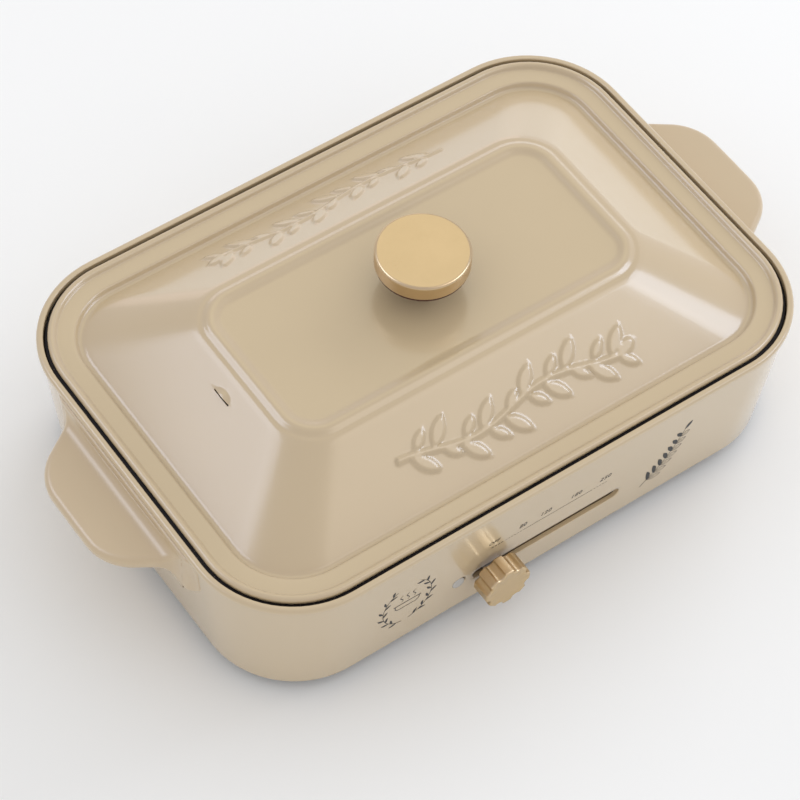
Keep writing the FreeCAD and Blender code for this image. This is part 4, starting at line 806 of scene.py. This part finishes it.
KNOB_X = -31.5
KNOB_RADIUS = 12.2
KNOB_GAP = 3.8
KNOB_LENGTH = 10.2
KNOB_EDGE = 0.9
FLUTES = 8
FLUTE_RADIUS = 3.1
FLUTE_DEPTH = 1.7


def lever_knob_shell(steps=256):
    """Rings along Y: the back, the side, the rounded edge and the slightly sunk face. Half
    the angle between two flutes turns them, so that a ridge lies on each side."""
    back = MIDDLE_Y - wall_rows(SLOT_Z)[0, 1] - KNOB_GAP
    face = back - KNOB_LENGTH
    turn = np.linspace(0, 2 * math.pi, steps, endpoint=False)
    outline = scalloped(KNOB_RADIUS, FLUTE_RADIUS, FLUTE_DEPTH, FLUTES, turn)
    angle = turn + math.pi / FLUTES
    bend = np.radians(np.linspace(0, 90, 6))[1:]
    drawn_in = np.concatenate([[9.0, 0.5, 0, 0], KNOB_EDGE * (1 - np.cos(bend)), [1.5, 2.0, 5.0, 9.0]])
    y = np.concatenate([[back, back, back - 0.5, face + KNOB_EDGE],
                        face + KNOB_EDGE * (1 - np.sin(bend)), face + np.array([0, 0.15, 0.25, 0.25])])
    radius = np.maximum(outline - drawn_in[:, None], 1.0)
    radius = np.vstack([0 * turn, radius, 0 * turn])
    y = np.concatenate([y[:1], y, y[-1:]])[:, None] + 0 * turn
    return grid_shell(np.stack([KNOB_X + radius * np.cos(angle), y, SLOT_Z + radius * np.sin(angle)], -1))


make_piece("lever_grip", [lever_knob_shell()], "lever", "gold", ["lever_knob"], 32)

# %% Lens of the pilot lamp
LENS_RADIUS = 3.3
LENS_FLANGE = (4.7, 1.2)
lens_front = MIDDLE_Y - wall_rows(LAMP[1])[0, 1] - 0.6
lens_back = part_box("pilot_lens")[1].y / MM
flange_front = lens_back - LENS_FLANGE[1]
lens_profile = rounded_line([(0, lens_front - 0.25), (2.2, lens_front), (LENS_RADIUS, lens_front + 0.3),
                             (LENS_RADIUS, flange_front), (LENS_FLANGE[0], flange_front),
                             (LENS_FLANGE[0], lens_back), (0, lens_back)], [6, 0.5, 0.1, 0.1, 0.1], 5)
lens_shell = lathe(lens_profile, (LAMP[0], 0, LAMP[1]), "y", 64)
make_piece("lamp_lens", [lens_shell], "base", "lens", ["pilot_lens"], 50)

# %% [markdown]
# ## Cooking plate
# The plate shows when the lid is lifted. It is a casting with a flange that lies on the
# ledge and a well with rounded foot. One profile goes round it, like the housing's, and its
# rows shrink to a point in the middle of the floor, above and below.

# %% Plate profile and surface
FLANGE = (RIM_PLANE - 4.6, RIM_PLANE - 1.6)
PLATE_LOW = FLANGE[0] - 22.5
FLOOR_Z = PLATE_LOW + 3.5
EDGE_INSET = 3.5
WELL_INSET = (13.4, 18.2)
TUB_INSET = (11.0, 16.0)
FLAT_INSET = 38.0


def to_middle(line, count=5):
    """Rows of a profile, then rows whose outline shrinks evenly to the middle point."""
    rows = inset_rows(line)
    share = np.linspace(0, 1, count)[1:, None]
    return np.vstack([rows, np.hstack([rows[-1:, :3] * (1 - share), np.full_like(share, rows[-1, 3])])])


edge_start = (EDGE_INSET, FLANGE[0] + 0.5)
well = rounded_line([edge_start, (EDGE_INSET, FLANGE[1]), (WELL_INSET[0], FLANGE[1]),
                     (WELL_INSET[1], FLOOR_Z), (FLAT_INSET, FLOOR_Z)], [0.6, 1.0, 4.5], 7)
tub = rounded_line([edge_start, (EDGE_INSET, FLANGE[0]), (TUB_INSET[0], FLANGE[0]),
                    (TUB_INSET[1], PLATE_LOW), (FLAT_INSET, PLATE_LOW)], [0.3, 0.8, 6.0], 7)
plate_rows = np.vstack([to_middle(well)[::-1], to_middle(tub)[1:]])
plate_ring = Ring(np.linspace(-1, 1, 25), np.linspace(-1, 1, 17), corner_steps=14)
plate_shell = grid_shell(plate_ring.points(plate_rows))
make_piece("cooking_plate", [plate_shell], "plate", "nonstick", ["griddle_plate"], 40)

# %% [markdown]
# ## Feet
# Four soft rubber feet stand under the base, each held by a screw in its hollow. They are
# turned pieces, so one profile makes them all. They stand under the inner bosses, where the
# load goes straight up.

# %% Four rubber feet
foot_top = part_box("feet")[1].z / MM
foot_profile = rounded_line([(1.6, foot_top), (9.0, foot_top), (9.0, foot_top / 2), (8.2, 0), (3.8, 0),
                             (3.8, 5.0), (1.6, 5.0), (1.6, foot_top)], [0.3, 0.5, 0.5, 0.5, 0.3, 0.1], 4)
foot_profile[:, 1] = np.clip(foot_profile[:, 1], 0, None)
feet = [lathe(foot_profile, (x, y + MIDDLE_Y, 0), steps=64)
        for x in (-BOSS[0], BOSS[0]) for y in (-BOSS[1], BOSS[1])]
make_piece("rubber_feet", feet, "base", "rubber_dark", ["feet"], 40)

# %% [markdown]
# ## Print on the front wall
# The scale and the two decorations are ink, a few hundredths of a millimetre thick. They
# could be a picture laid on the wall, but its pixels would show on small letters. Here every
# mark is its own thin plate: letters come from text objects, and everything else is a
# stroke along a line, with a width that may change along it. A stroke that swells and
# narrows again is a leaf.

# %% From flat marks to the wall
INK = 0.03


def on_front(flat):
    """Flat marks stand upright on the wall: their X stays, their Y becomes the height, and
    their thickness points out of the wall, which leans. The ink starts just off the wall."""
    x, z, out = flat.T
    return np.stack([x, MIDDLE_Y - wall_rows(z)[:, 1] - INK - out, z], -1)


def stroke(points, width):
    """Closed strip along a line: four points at each step, half the width to both sides, at
    the top and the bottom of the ink, and a face at each end."""
    line = np.asarray(points, float)
    width = np.broadcast_to(width, len(line))[:, None]
    along = directions(line)
    aside = np.stack([-along[:, 1], along[:, 0]], -1) * width / 2
    corners = ((1, 0.0), (-1, 0.0), (-1, INK), (1, INK))
    strip = np.stack([np.c_[line + sign * aside, np.full(len(line), level)] for sign, level in corners], 1)
    points, faces = grid_shell(strip)
    last = len(points) - 4
    ends = np.array([(3, 2, 1, 0), (last, last + 1, last + 2, last + 3)])
    return on_front(points), np.vstack([faces, ends])


def bowed(foot, tip, bow, steps):
    """Line from foot to tip that bows to the left by a share of its length, in a sine."""
    foot, tip = np.array(foot, float), np.array(tip, float)
    share = np.linspace(0, 1, steps + 1)
    aside = bow * np.array([foot[1] - tip[1], tip[0] - foot[0]])
    return foot + np.outer(share, tip - foot) + np.outer(np.sin(math.pi * share), aside)


def swelling(foot, tip, width, bow=0.0, steps=12):
    """Filled leaf from its foot to its tip: its width is a sine along its line."""
    share = np.linspace(0, 1, steps + 1)
    return stroke(bowed(foot, tip, bow, steps), np.maximum(width * np.sin(math.pi * share) ** 0.8, 0.05))


def outlined(foot, tip, width, ink=0.28, steps=14):
    """Leaf drawn as two bowed lines that meet at its foot and tip, and a short midrib."""
    bow = width / 2 / np.linalg.norm(np.subtract(tip, foot))
    rib = bowed(foot, tip, 0.0, steps)[:9]
    return [stroke(bowed(foot, tip, bow, steps), ink), stroke(bowed(foot, tip, -bow, steps), ink),
            stroke(rib, ink * 0.7)]


def turned(direction, cosine, sine):
    """A direction turned to the left by the angle of this cosine and sine."""
    x, y = direction
    return np.array([x * cosine - y * sine, x * sine + y * cosine])


# %% Letters
def lettering(words, x, z, size, weight=0.0, lean=0.0):
    """Text made into a mesh, then moved onto the wall with its left foot at x and z."""
    curve = bpy.data.curves.new("words", "FONT")
    curve.body = words
    curve.size = size
    curve.offset = weight
    curve.shear = lean
    curve.space_character = 1.12
    curve.extrude = INK / 2
    text = bpy.data.objects.new("words", curve)
    mesh = bpy.data.meshes.new_from_object(text)
    points = np.array([vertex.co[:] for vertex in mesh.vertices]) + (x, z, INK / 2)
    mesh.calc_loop_triangles()
    triangles = np.array([t.vertices[:] for t in mesh.loop_triangles])
    faces = np.c_[triangles, triangles[:, 2]]
    bpy.data.objects.remove(text)
    bpy.data.curves.remove(curve)
    return on_front(points), faces


# %% Scale of the lever
BASELINE = 49.6
RULE_Z = 46.2


def dashes(first, end, step, length, width):
    """Level strokes on the scale's line, one at each step."""
    return [stroke([(x, RULE_Z), (x + length, RULE_Z)], width) for x in np.arange(first, end, step)]


numbers = (("80", -18.6), ("120", -7.0), ("180", 10.0), ("250", 26.6))
letters = [lettering("OFF", -35.3, BASELINE - 0.1, 3.2, 0.05, 0.2)]
letters += [lettering(words, x, BASELINE, 3.9, 0.03, 0.2) for words, x in numbers]
rules = dashes(-33.2, -26.5, 1.75, 1.15, 0.6) + dashes(-25.6, -15.8, 1.6, 1.0, 0.22)
rules += [stroke([(-15.0, RULE_Z), (23.0, RULE_Z)], 0.24)] + dashes(23.8, 31.6, 1.6, 1.0, 0.22)
make_piece("scale_print", letters + rules, "base", "black_plastic")


# %% Decorations
def wreath(centre_x, centre_z):
    """Two leafy twigs bowed round a shallow pan with three wisps of steam."""
    centre = np.array([centre_x, centre_z])
    shells = []
    for side in (-1, 1):
        angle = np.radians(np.linspace(-82, 62, 25))
        stem = centre + np.stack([side * 13.0 * np.cos(angle), 16.0 * np.sin(angle)], -1)
        shells.append(stroke(stem, 0.3))
        along = directions(stem)
        for k in range(2, 24, 2):
            angle = math.radians(38.0 if k // 2 % 2 else -38.0)
            outward = turned(along[k], math.cos(angle), math.sin(angle))
            shells.append(swelling(stem[k], stem[k] + 4.3 * outward, 1.35, 0.06))
    pan = [(-6.6, 1.2), (-6.3, -1.6), (-4.8, -2.8), (4.8, -2.8), (6.3, -1.6), (6.6, 1.2)]
    shells.append(stroke(centre + rounded_line(pan, [1.5, 1.2, 1.2, 1.5], 4), 0.42))
    shells.append(stroke(centre + [(-7.4, 1.2), (7.4, 1.2)], 0.6))
    height = np.linspace(0, 5.6, 17)
    for x in (-3.4, 0.0, 3.4):
        wisp = np.stack([x + 0.75 * np.sin(height * 1.25), 3.2 + height], -1)
        shells.append(stroke(centre + wisp, 0.12 + 0.34 * np.sin(math.pi * height / 5.6)))
    return shells


def twig(centre_x, centre_z):
    """Leaning twig with filled leaves on one side and drawn ones on the other."""
    share = np.linspace(0, 1, 25)
    stem = np.stack([centre_x - 10.5 + 20 * share + 2.2 * np.sin(math.pi * share),
                     centre_z - 18 + 34 * share - 2.0 * np.sin(math.pi * share)], -1)
    shells = [stroke(stem, 0.42 - 0.2 * share)]
    along = directions(stem)
    for k in range(3, 23, 3):
        left, right = turned(along[k], 0.64, 0.77), turned(along[k], 0.64, -0.77)
        reach = 8.6 - 0.16 * k
        shells.append(swelling(stem[k], stem[k] + reach * left, 2.5, -0.08))
        shells += outlined(stem[k], stem[k] + reach * right, 2.9)
    shells.append(swelling(stem[-1], stem[-1] + (3.4, 5.2), 2.3))
    return shells


make_piece("wall_print", wreath(-78.5, 41.0) + twig(65.5, 37.5), "base", "black_plastic")

# %% [markdown]
# ## Finishes
# Every finish is a small network of nodes. Written as plain expressions they are easier to
# read than a picture of the network, so a value on its way through the network is wrapped
# in a small class, and + - * / on it add the Math nodes. Patterns read Object coordinates,
# which are metres in the griddle's own frame, so a grain has the same size on every piece.

# %% Values as expressions
class Value:
    """A socket of a material. Arithmetic on it adds Math nodes and gives a new Value."""

    def __init__(self, tree, socket):
        self.tree = tree
        self.socket = socket

    def math(self, operation, *values):
        """Math node on values, each a number or a Value."""
        return add_node(self.tree, "ShaderNodeMath", {"operation": operation}, dict(enumerate(values)))

    def __add__(self, other):
        return self.math("ADD", self, other)

    def __radd__(self, other):
        return self.math("ADD", other, self)

    def __sub__(self, other):
        return self.math("SUBTRACT", self, other)

    def __rsub__(self, other):
        return self.math("SUBTRACT", other, self)

    def __mul__(self, other):
        return self.math("MULTIPLY", self, other)

    def __rmul__(self, other):
        return self.math("MULTIPLY", other, self)

    def __truediv__(self, other):
        return self.math("DIVIDE", self, other)

    def __rtruediv__(self, other):
        return self.math("DIVIDE", other, self)

    def __pow__(self, other):
        return self.math("POWER", self, other)

    def __neg__(self):
        return self.math("MULTIPLY", self, -1.0)

    def clipped(self):
        """The value, but at least 0 and at most 1."""
        return self.math("MINIMUM", self.math("MAXIMUM", self, 0.0), 1.0)

    def between(self, low, high):
        """0 below the low value, 1 above the high one, straight between them."""
        return ((self - low) / (high - low)).clipped()


def connect(tree, socket, value):
    """Puts a number, a colour or another Value on a socket."""
    if isinstance(value, Value):
        tree.links.new(value.socket, socket)
    elif value is not None:
        if hasattr(socket.default_value, "__len__") and len(socket.default_value) == 4 and len(value) == 3:
            value = (*value, 1.0)
        socket.default_value = value


def add_node(tree, kind, settings=None, values=None, output=0):
    """Any node of a type: its settings first, then the values or links of its sockets, by
    name or number. It gives one output, or as many as a tuple of outputs asks for."""
    node = tree.nodes.new(kind)
    for name, setting in (settings or {}).items():
        setattr(node, name, setting)
    for name, value in (values or {}).items():
        connect(tree, node.inputs[name], value)
    if isinstance(output, tuple):
        return tuple(Value(tree, node.outputs[name]) for name in output)
    return Value(tree, node.outputs[output])


def mixed(tree, factor, first, second):
    """Colour between the first and the second."""
    return add_node(tree, "ShaderNodeMix", {"data_type": "RGBA"}, {0: factor, 6: first, 7: second}, 2)


# %% A finish and its nodes
def linear(red, green, blue):
    """Shader colour of a screen colour given as 0 to 255: the sRGB curve taken back."""
    return tuple(c / 12.92 if c <= 0.04045 else ((c + 0.055) / 1.055) ** 2.4
                 for c in (red / 255, green / 255, blue / 255))


class Finish:
    """A material under construction. Its patterns start from Object coordinates."""

    def __init__(self, name):
        self.material = bpy.data.materials.new(name)
        self.material.use_nodes = True
        self.tree = self.material.node_tree
        self.tree.nodes.clear()
        self.place = self.node("ShaderNodeTexCoord", output="Object")

    def node(self, kind, settings=None, values=None, output=0):
        """Any node in this finish."""
        return add_node(self.tree, kind, settings, values, output)

    def noise(self, scale, detail=2.0, roughness=0.5, stretch=None):
        """Soft random pattern of about one wave per 1 / scale metres, around 0.5."""
        place = self.place
        if stretch:
            place = self.node("ShaderNodeMapping", values={"Vector": place, "Scale": stretch})
        values = {"Vector": place, "Scale": scale, "Detail": detail, "Roughness": roughness}
        return self.node("ShaderNodeTexNoise", values=values)

    def bump(self, height, depth, under=None):
        """Normal bent by a height pattern, where 1 stands for the depth in metres."""
        values = {"Height": height, "Distance": depth, "Strength": 1.0, "Normal": under}
        return self.node("ShaderNodeBump", values=values)

    def done(self, **values):
        """Puts the values on a Principled shader and gives the material."""
        named = {name.replace("_", " "): value for name, value in values.items()}
        shader = self.node("ShaderNodeBsdfPrincipled", values=named)
        self.node("ShaderNodeOutputMaterial", values={"Surface": shader}, output=())
        print("finish", self.material.name, len(self.tree.nodes), "nodes")
        return self.material


def clouded(finish, pattern, first, second, low=0.3, high=0.7):
    """Colour that drifts from the first to the second with a pattern's light places."""
    return mixed(finish.tree, pattern.between(low, high), first, second)


def darker(colour, share):
    """A colour made darker by a share."""
    return tuple(c * (1 - share) for c in colour)


# %% [markdown]
# ### Enamel
# The lid and the housing are sprayed and baked. Up close such paint isn't quite flat: it
# has a faint orange peel about 2 mm wide and a finer grain, and its gloss changes a little
# from place to place. The handles get a duller lacquer of the same colour, and the slide
# behind the slot is moulded in it.

# %% Painted pieces
def enamel(name, colour, gloss, peel=0.000008, clear_coat=1.0, coat_gloss=0.14):
    """Painted surface: colour with a slight cloudiness, orange peel and uneven gloss, under
    a smooth clear coat that gives the soft mirror images."""
    paint = Finish(name)
    cloud = paint.noise(18.0, 3.0, 0.6)
    grain = paint.noise(900.0, 2.0, 0.6)
    base = mixed(paint.tree, cloud.between(0.3, 0.75) * 0.6, colour, darker(colour, 0.05))
    wave = paint.noise(420.0, 1.0, 0.4)
    normal = paint.bump(grain, peel * 0.12, under=paint.bump(wave, peel))
    rough = gloss + 0.05 * (paint.noise(60.0, 3.0) - 0.5) + 0.03 * (grain - 0.5)
    return paint.done(Base_Color=base, Roughness=rough, Normal=normal, IOR=1.5, Specular_IOR_Level=0.5,
                      Coat_Weight=clear_coat, Coat_Roughness=coat_gloss, Coat_IOR=1.5)


finishes = {"paint": enamel("enamel", linear(198, 177, 143), 0.3),
            "grip_paint": enamel("handle_lacquer", linear(197, 175, 141), 0.36, coat_gloss=0.3),
            "paint_plastic": enamel("slide_resin", linear(194, 174, 145), 0.42, 0.000012, 0.2)}


# %% Satin metal
def satin(name, colour, gloss, grain_scale=(1.0, 1.0, 1.0), depth=0.000004, cloud_share=0.06):
    """Metal with a fine grain in its gloss and its height, and a slight change of tone."""
    metal = Finish(name)
    grain = metal.noise(2600.0, 3.0, 0.7, stretch=grain_scale)
    cloud = metal.noise(70.0, 3.0, 0.6)
    base = clouded(metal, cloud, darker(colour, cloud_share), colour)
    rough = gloss + 0.1 * (grain - 0.5) + 0.06 * (cloud - 0.5)
    return metal.done(Base_Color=base, Metallic=1.0, Roughness=rough, Normal=metal.bump(grain, depth))


finishes["gold"] = satin("satin_gold", linear(214, 190, 150), 0.3)
finishes["steel"] = satin("zinc_plate", linear(190, 189, 186), 0.34)
finishes["sheet"] = satin("rolled_sheet", linear(205, 205, 203), 0.38, (1.0, 0.06, 1.0), 0.000006)
finishes["brass"] = satin("bare_brass", linear(214, 180, 112), 0.3)
finishes["copper"] = satin("drawn_copper", linear(205, 138, 106), 0.32)
finishes["sheath"] = satin("heated_sheath", linear(118, 106, 98), 0.5, cloud_share=0.3)


# %% Moulded resin and rubber
def moulded(name, colour, gloss, grain=500.0, depth=0.00002, spread=0.12):
    """Moulded surface with a fine spark-eroded grain and a little cloudiness."""
    resin = Finish(name)
    texture = resin.noise(grain, 4.0, 0.65)
    cloud = resin.noise(40.0, 3.0, 0.6)
    base = clouded(resin, cloud, darker(colour, spread), colour)
    rough = gloss + 0.12 * (texture - 0.5)
    return resin.done(Base_Color=base, Roughness=rough, Normal=resin.bump(texture, depth))


finishes["dark_resin"] = moulded("dark_resin", linear(70, 34, 26), 0.36, 900.0, 0.000006)
finishes["rubber_dark"] = moulded("rubber", linear(38, 36, 35), 0.7, 700.0, 0.00003)
finishes["black_plastic"] = moulded("black_resin", linear(34, 34, 34), 0.42)
finishes["base_plastic"] = moulded("cover_resin", linear(58, 53, 49), 0.5, 650.0, 0.00003)
finishes["acetal"] = moulded("slide_acetal", linear(226, 224, 214), 0.35, 300.0, 0.000008, 0.05)
finishes["ceramic_white"] = moulded("steatite", linear(226, 221, 210), 0.45, 1200.0, 0.000012, 0.06)
finishes["wire_red"] = moulded("red_insulation", linear(150, 48, 38), 0.5, 800.0, 0.00001)
finishes["wire_white"] = moulded("white_insulation", linear(222, 219, 210), 0.5, 800.0, 0.00001)


# %% Non-stick coating
def coating():
    """Dark coating with bright flecks: points of a cell pattern whose own random value is
    high, each a fraction of a millimetre wide."""
    coat = Finish("nonstick_coating")
    distance, pick = coat.node("ShaderNodeTexVoronoi", values={"Vector": coat.place, "Scale": 900.0},
                               output=("Distance", "Color"))
    chosen = coat.node("ShaderNodeSeparateColor", values={"Color": pick}).between(0.86, 0.9)
    fleck = (1 - distance.between(0.12, 0.3)) * chosen
    grain = coat.noise(1500.0, 4.0, 0.7)
    base = mixed(coat.tree, fleck, linear(20, 14, 12), linear(96, 86, 78))
    return coat.done(Base_Color=base, Roughness=0.44 + 0.16 * (grain - 0.5) - 0.15 * fleck,
                     Normal=coat.bump(grain, 0.00002), Specular_IOR_Level=0.25)


finishes["nonstick"] = coating()


# %% Clear parts
def clear(name, colour, gloss, passes=0.75):
    """Clear resin or glass that passes a share of the light, with faint mould waves."""
    glass = Finish(name)
    wave = glass.noise(300.0, 2.0)
    tone = clouded(glass, wave, colour, darker(colour, 0.08))
    return glass.done(Base_Color=tone, Roughness=gloss + 0.06 * (wave - 0.5), Transmission_Weight=passes,
                      IOR=1.45, Normal=glass.bump(wave, 0.00001))


finishes["lens"] = clear("lamp_resin", linear(214, 210, 205), 0.12, 0.3)
finishes["bulb_glass"] = clear("bulb_glass", linear(240, 222, 205), 0.06)

# %% Put the finishes on
slot_of = {part["node"]: part["material_slot"] for part in frame["record"]["subparts"]}
for piece in list(bpy.context.scene.objects):
    if piece.type != "MESH":
        continue
    wanted = piece.get("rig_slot") or slot_of.get(piece.name)
    piece.data.materials.clear()
    piece.data.materials.append(finishes[wanted])
print(len(finishes), "finishes on", len(slot_of), "nodes and the new pieces")

# %% [markdown]
# ## Camera, floor and light
# The photograph was taken from the front left, from well above, with a long lens held
# slightly askew. Its direction was found from the parallel edges and the rim's outline, and
# the camera's three axes are written out from those angles. The light comes from large soft
# boxes round a pale table, so that the slopes of the lid catch them one after the other.

# %% Camera
azimuth, elevation, roll = (math.radians(a) for a in (-38.116, 54.287, 3.698))
back = np.array([math.sin(azimuth) * math.cos(elevation), -math.cos(azimuth) * math.cos(elevation),
                 math.sin(elevation)])
right = np.array([math.cos(azimuth), math.sin(azimuth), 0])
up = np.cross(back, right)
across = right * math.cos(roll) + up * math.sin(roll)
upward = up * math.cos(roll) - right * math.sin(roll)
target = np.array([-34.72, -34.47 + MIDDLE_Y, RIM_PLANE])
place = (target + back * 1311.0) * MM
camera_data = bpy.data.cameras.new("camera")
camera_data.sensor_width = 36.0
camera_data.lens = 132.37
camera = bpy.data.objects.new("camera", camera_data)
matrix = Matrix([[across[k], upward[k], back[k], place[k]] for k in range(3)] + [[0, 0, 0, 1]])
camera.matrix_world = matrix
bpy.context.scene.collection.objects.link(camera)
bpy.context.scene.camera = camera

# %% Table
def table_finish():
    """Matt white table top with a barely visible cloudiness."""
    table = Finish("table")
    cloud = table.noise(4.0, 2.0)
    base = clouded(table, cloud, linear(246, 246, 246), linear(244, 244, 244))
    return table.done(Base_Color=base, Roughness=0.8 + 0.1 * (cloud - 0.5), Specular_IOR_Level=0.1)


TABLE_HALF = 3.0
table_corners = [(x * TABLE_HALF, y * TABLE_HALF, 0) for x, y in ((-1, -1), (1, -1), (1, 1), (-1, 1))]
floor_mesh = bpy.data.meshes.new("table_top")
floor_mesh.from_pydata(table_corners, [], [(0, 1, 2, 3)])
floor = bpy.data.objects.new("table_top", floor_mesh)
bpy.context.scene.collection.objects.link(floor)
floor_mesh.materials.append(table_finish())


# %% Lamps
def soft_box(name, direction, distance, size, colour, diffuse=True, glossy=True):
    """Area lamp that faces the griddle from a direction. Its power is pi times its area times
    its radiance, so the colour says how bright it looks in a mirror: 1, 1, 1 is white."""
    data = bpy.data.lights.new(name, "AREA")
    data.shape = "RECTANGLE"
    data.size, data.size_y = size
    radiance = max(colour)
    data.color = [c / radiance for c in colour]
    data.energy = math.pi * size[0] * size[1] * radiance
    lamp = bpy.data.objects.new(name, data)
    z = np.array(direction, float) / np.linalg.norm(direction)
    place = z * distance + (0, 0, 0.05)
    x = np.cross((0, 0, 1), z)
    x = x / np.linalg.norm(x)
    y = np.cross(z, x)
    lamp.matrix_world = Matrix([[x[k], y[k], z[k], place[k]] for k in range(3)] + [[0, 0, 0, 1]])
    lamp.visible_diffuse = diffuse
    lamp.visible_glossy = glossy
    bpy.context.scene.collection.objects.link(lamp)
    level = radiance * size[0] * size[1] * z[2] / (math.pi * distance ** 2)
    print(name, "adds", round(level, 3) if diffuse else 0, "of white to a level face")


soft_box("window", (0.9, 0.2, 0.3), 2.4, (2.4, 1.6), (2.2, 2.31, 2.5), glossy=False)
soft_box("left_back_card", (-0.495, 0.459, 0.739), 1.7, (1.0, 0.8), (2.3, 2.5, 3.1), diffuse=False)
soft_box("back_card", (0.36, 0.93, 0.12), 1.8, (1.2, 0.4), (0.75, 0.58, 0.52), diffuse=False)
soft_box("front_card", (0.36, -0.442, 0.823), 1.7, (0.9, 0.9), (1.1, 1.0, 0.87), diffuse=False)
soft_box("top_card", (0.36, 0.459, 0.812), 1.7, (0.9, 0.8), (0.54, 0.5, 0.25), diffuse=False)
soft_box("corner_card", (0.67, -0.38, 0.64), 1.7, (0.78, 0.6), (3.3, 3.8, 4.8), diffuse=False)


# %% Surroundings
def studio(world, around, mirrored, seen):
    """White surroundings: their plain level lights the griddle, mirrors and clear parts see
    a slightly cool and dimmer room, and the camera sees a brighter white."""
    world.use_nodes = True
    tree = world.node_tree
    camera_ray, glossy_ray, clear_ray = add_node(
        tree, "ShaderNodeLightPath", output=("Is Camera Ray", "Is Glossy Ray", "Is Transmission Ray"))
    in_mirror = (glossy_ray + clear_ray).clipped()
    level = max(mirrored)
    cool = tuple(c / level for c in mirrored)
    background = tree.nodes["Background"]
    connect(tree, background.inputs["Color"], mixed(tree, in_mirror, (1.0, 1.0, 1.0), cool))
    connect(tree, background.inputs["Strength"],
            around + (level - around) * in_mirror + (seen - around) * camera_ray)


world = bpy.data.worlds.new("studio")
bpy.context.scene.world = world
studio(world, 0.9, (0.68, 0.67, 0.76), 0.95)
bpy.context.scene.view_settings.view_transform = "Standard"
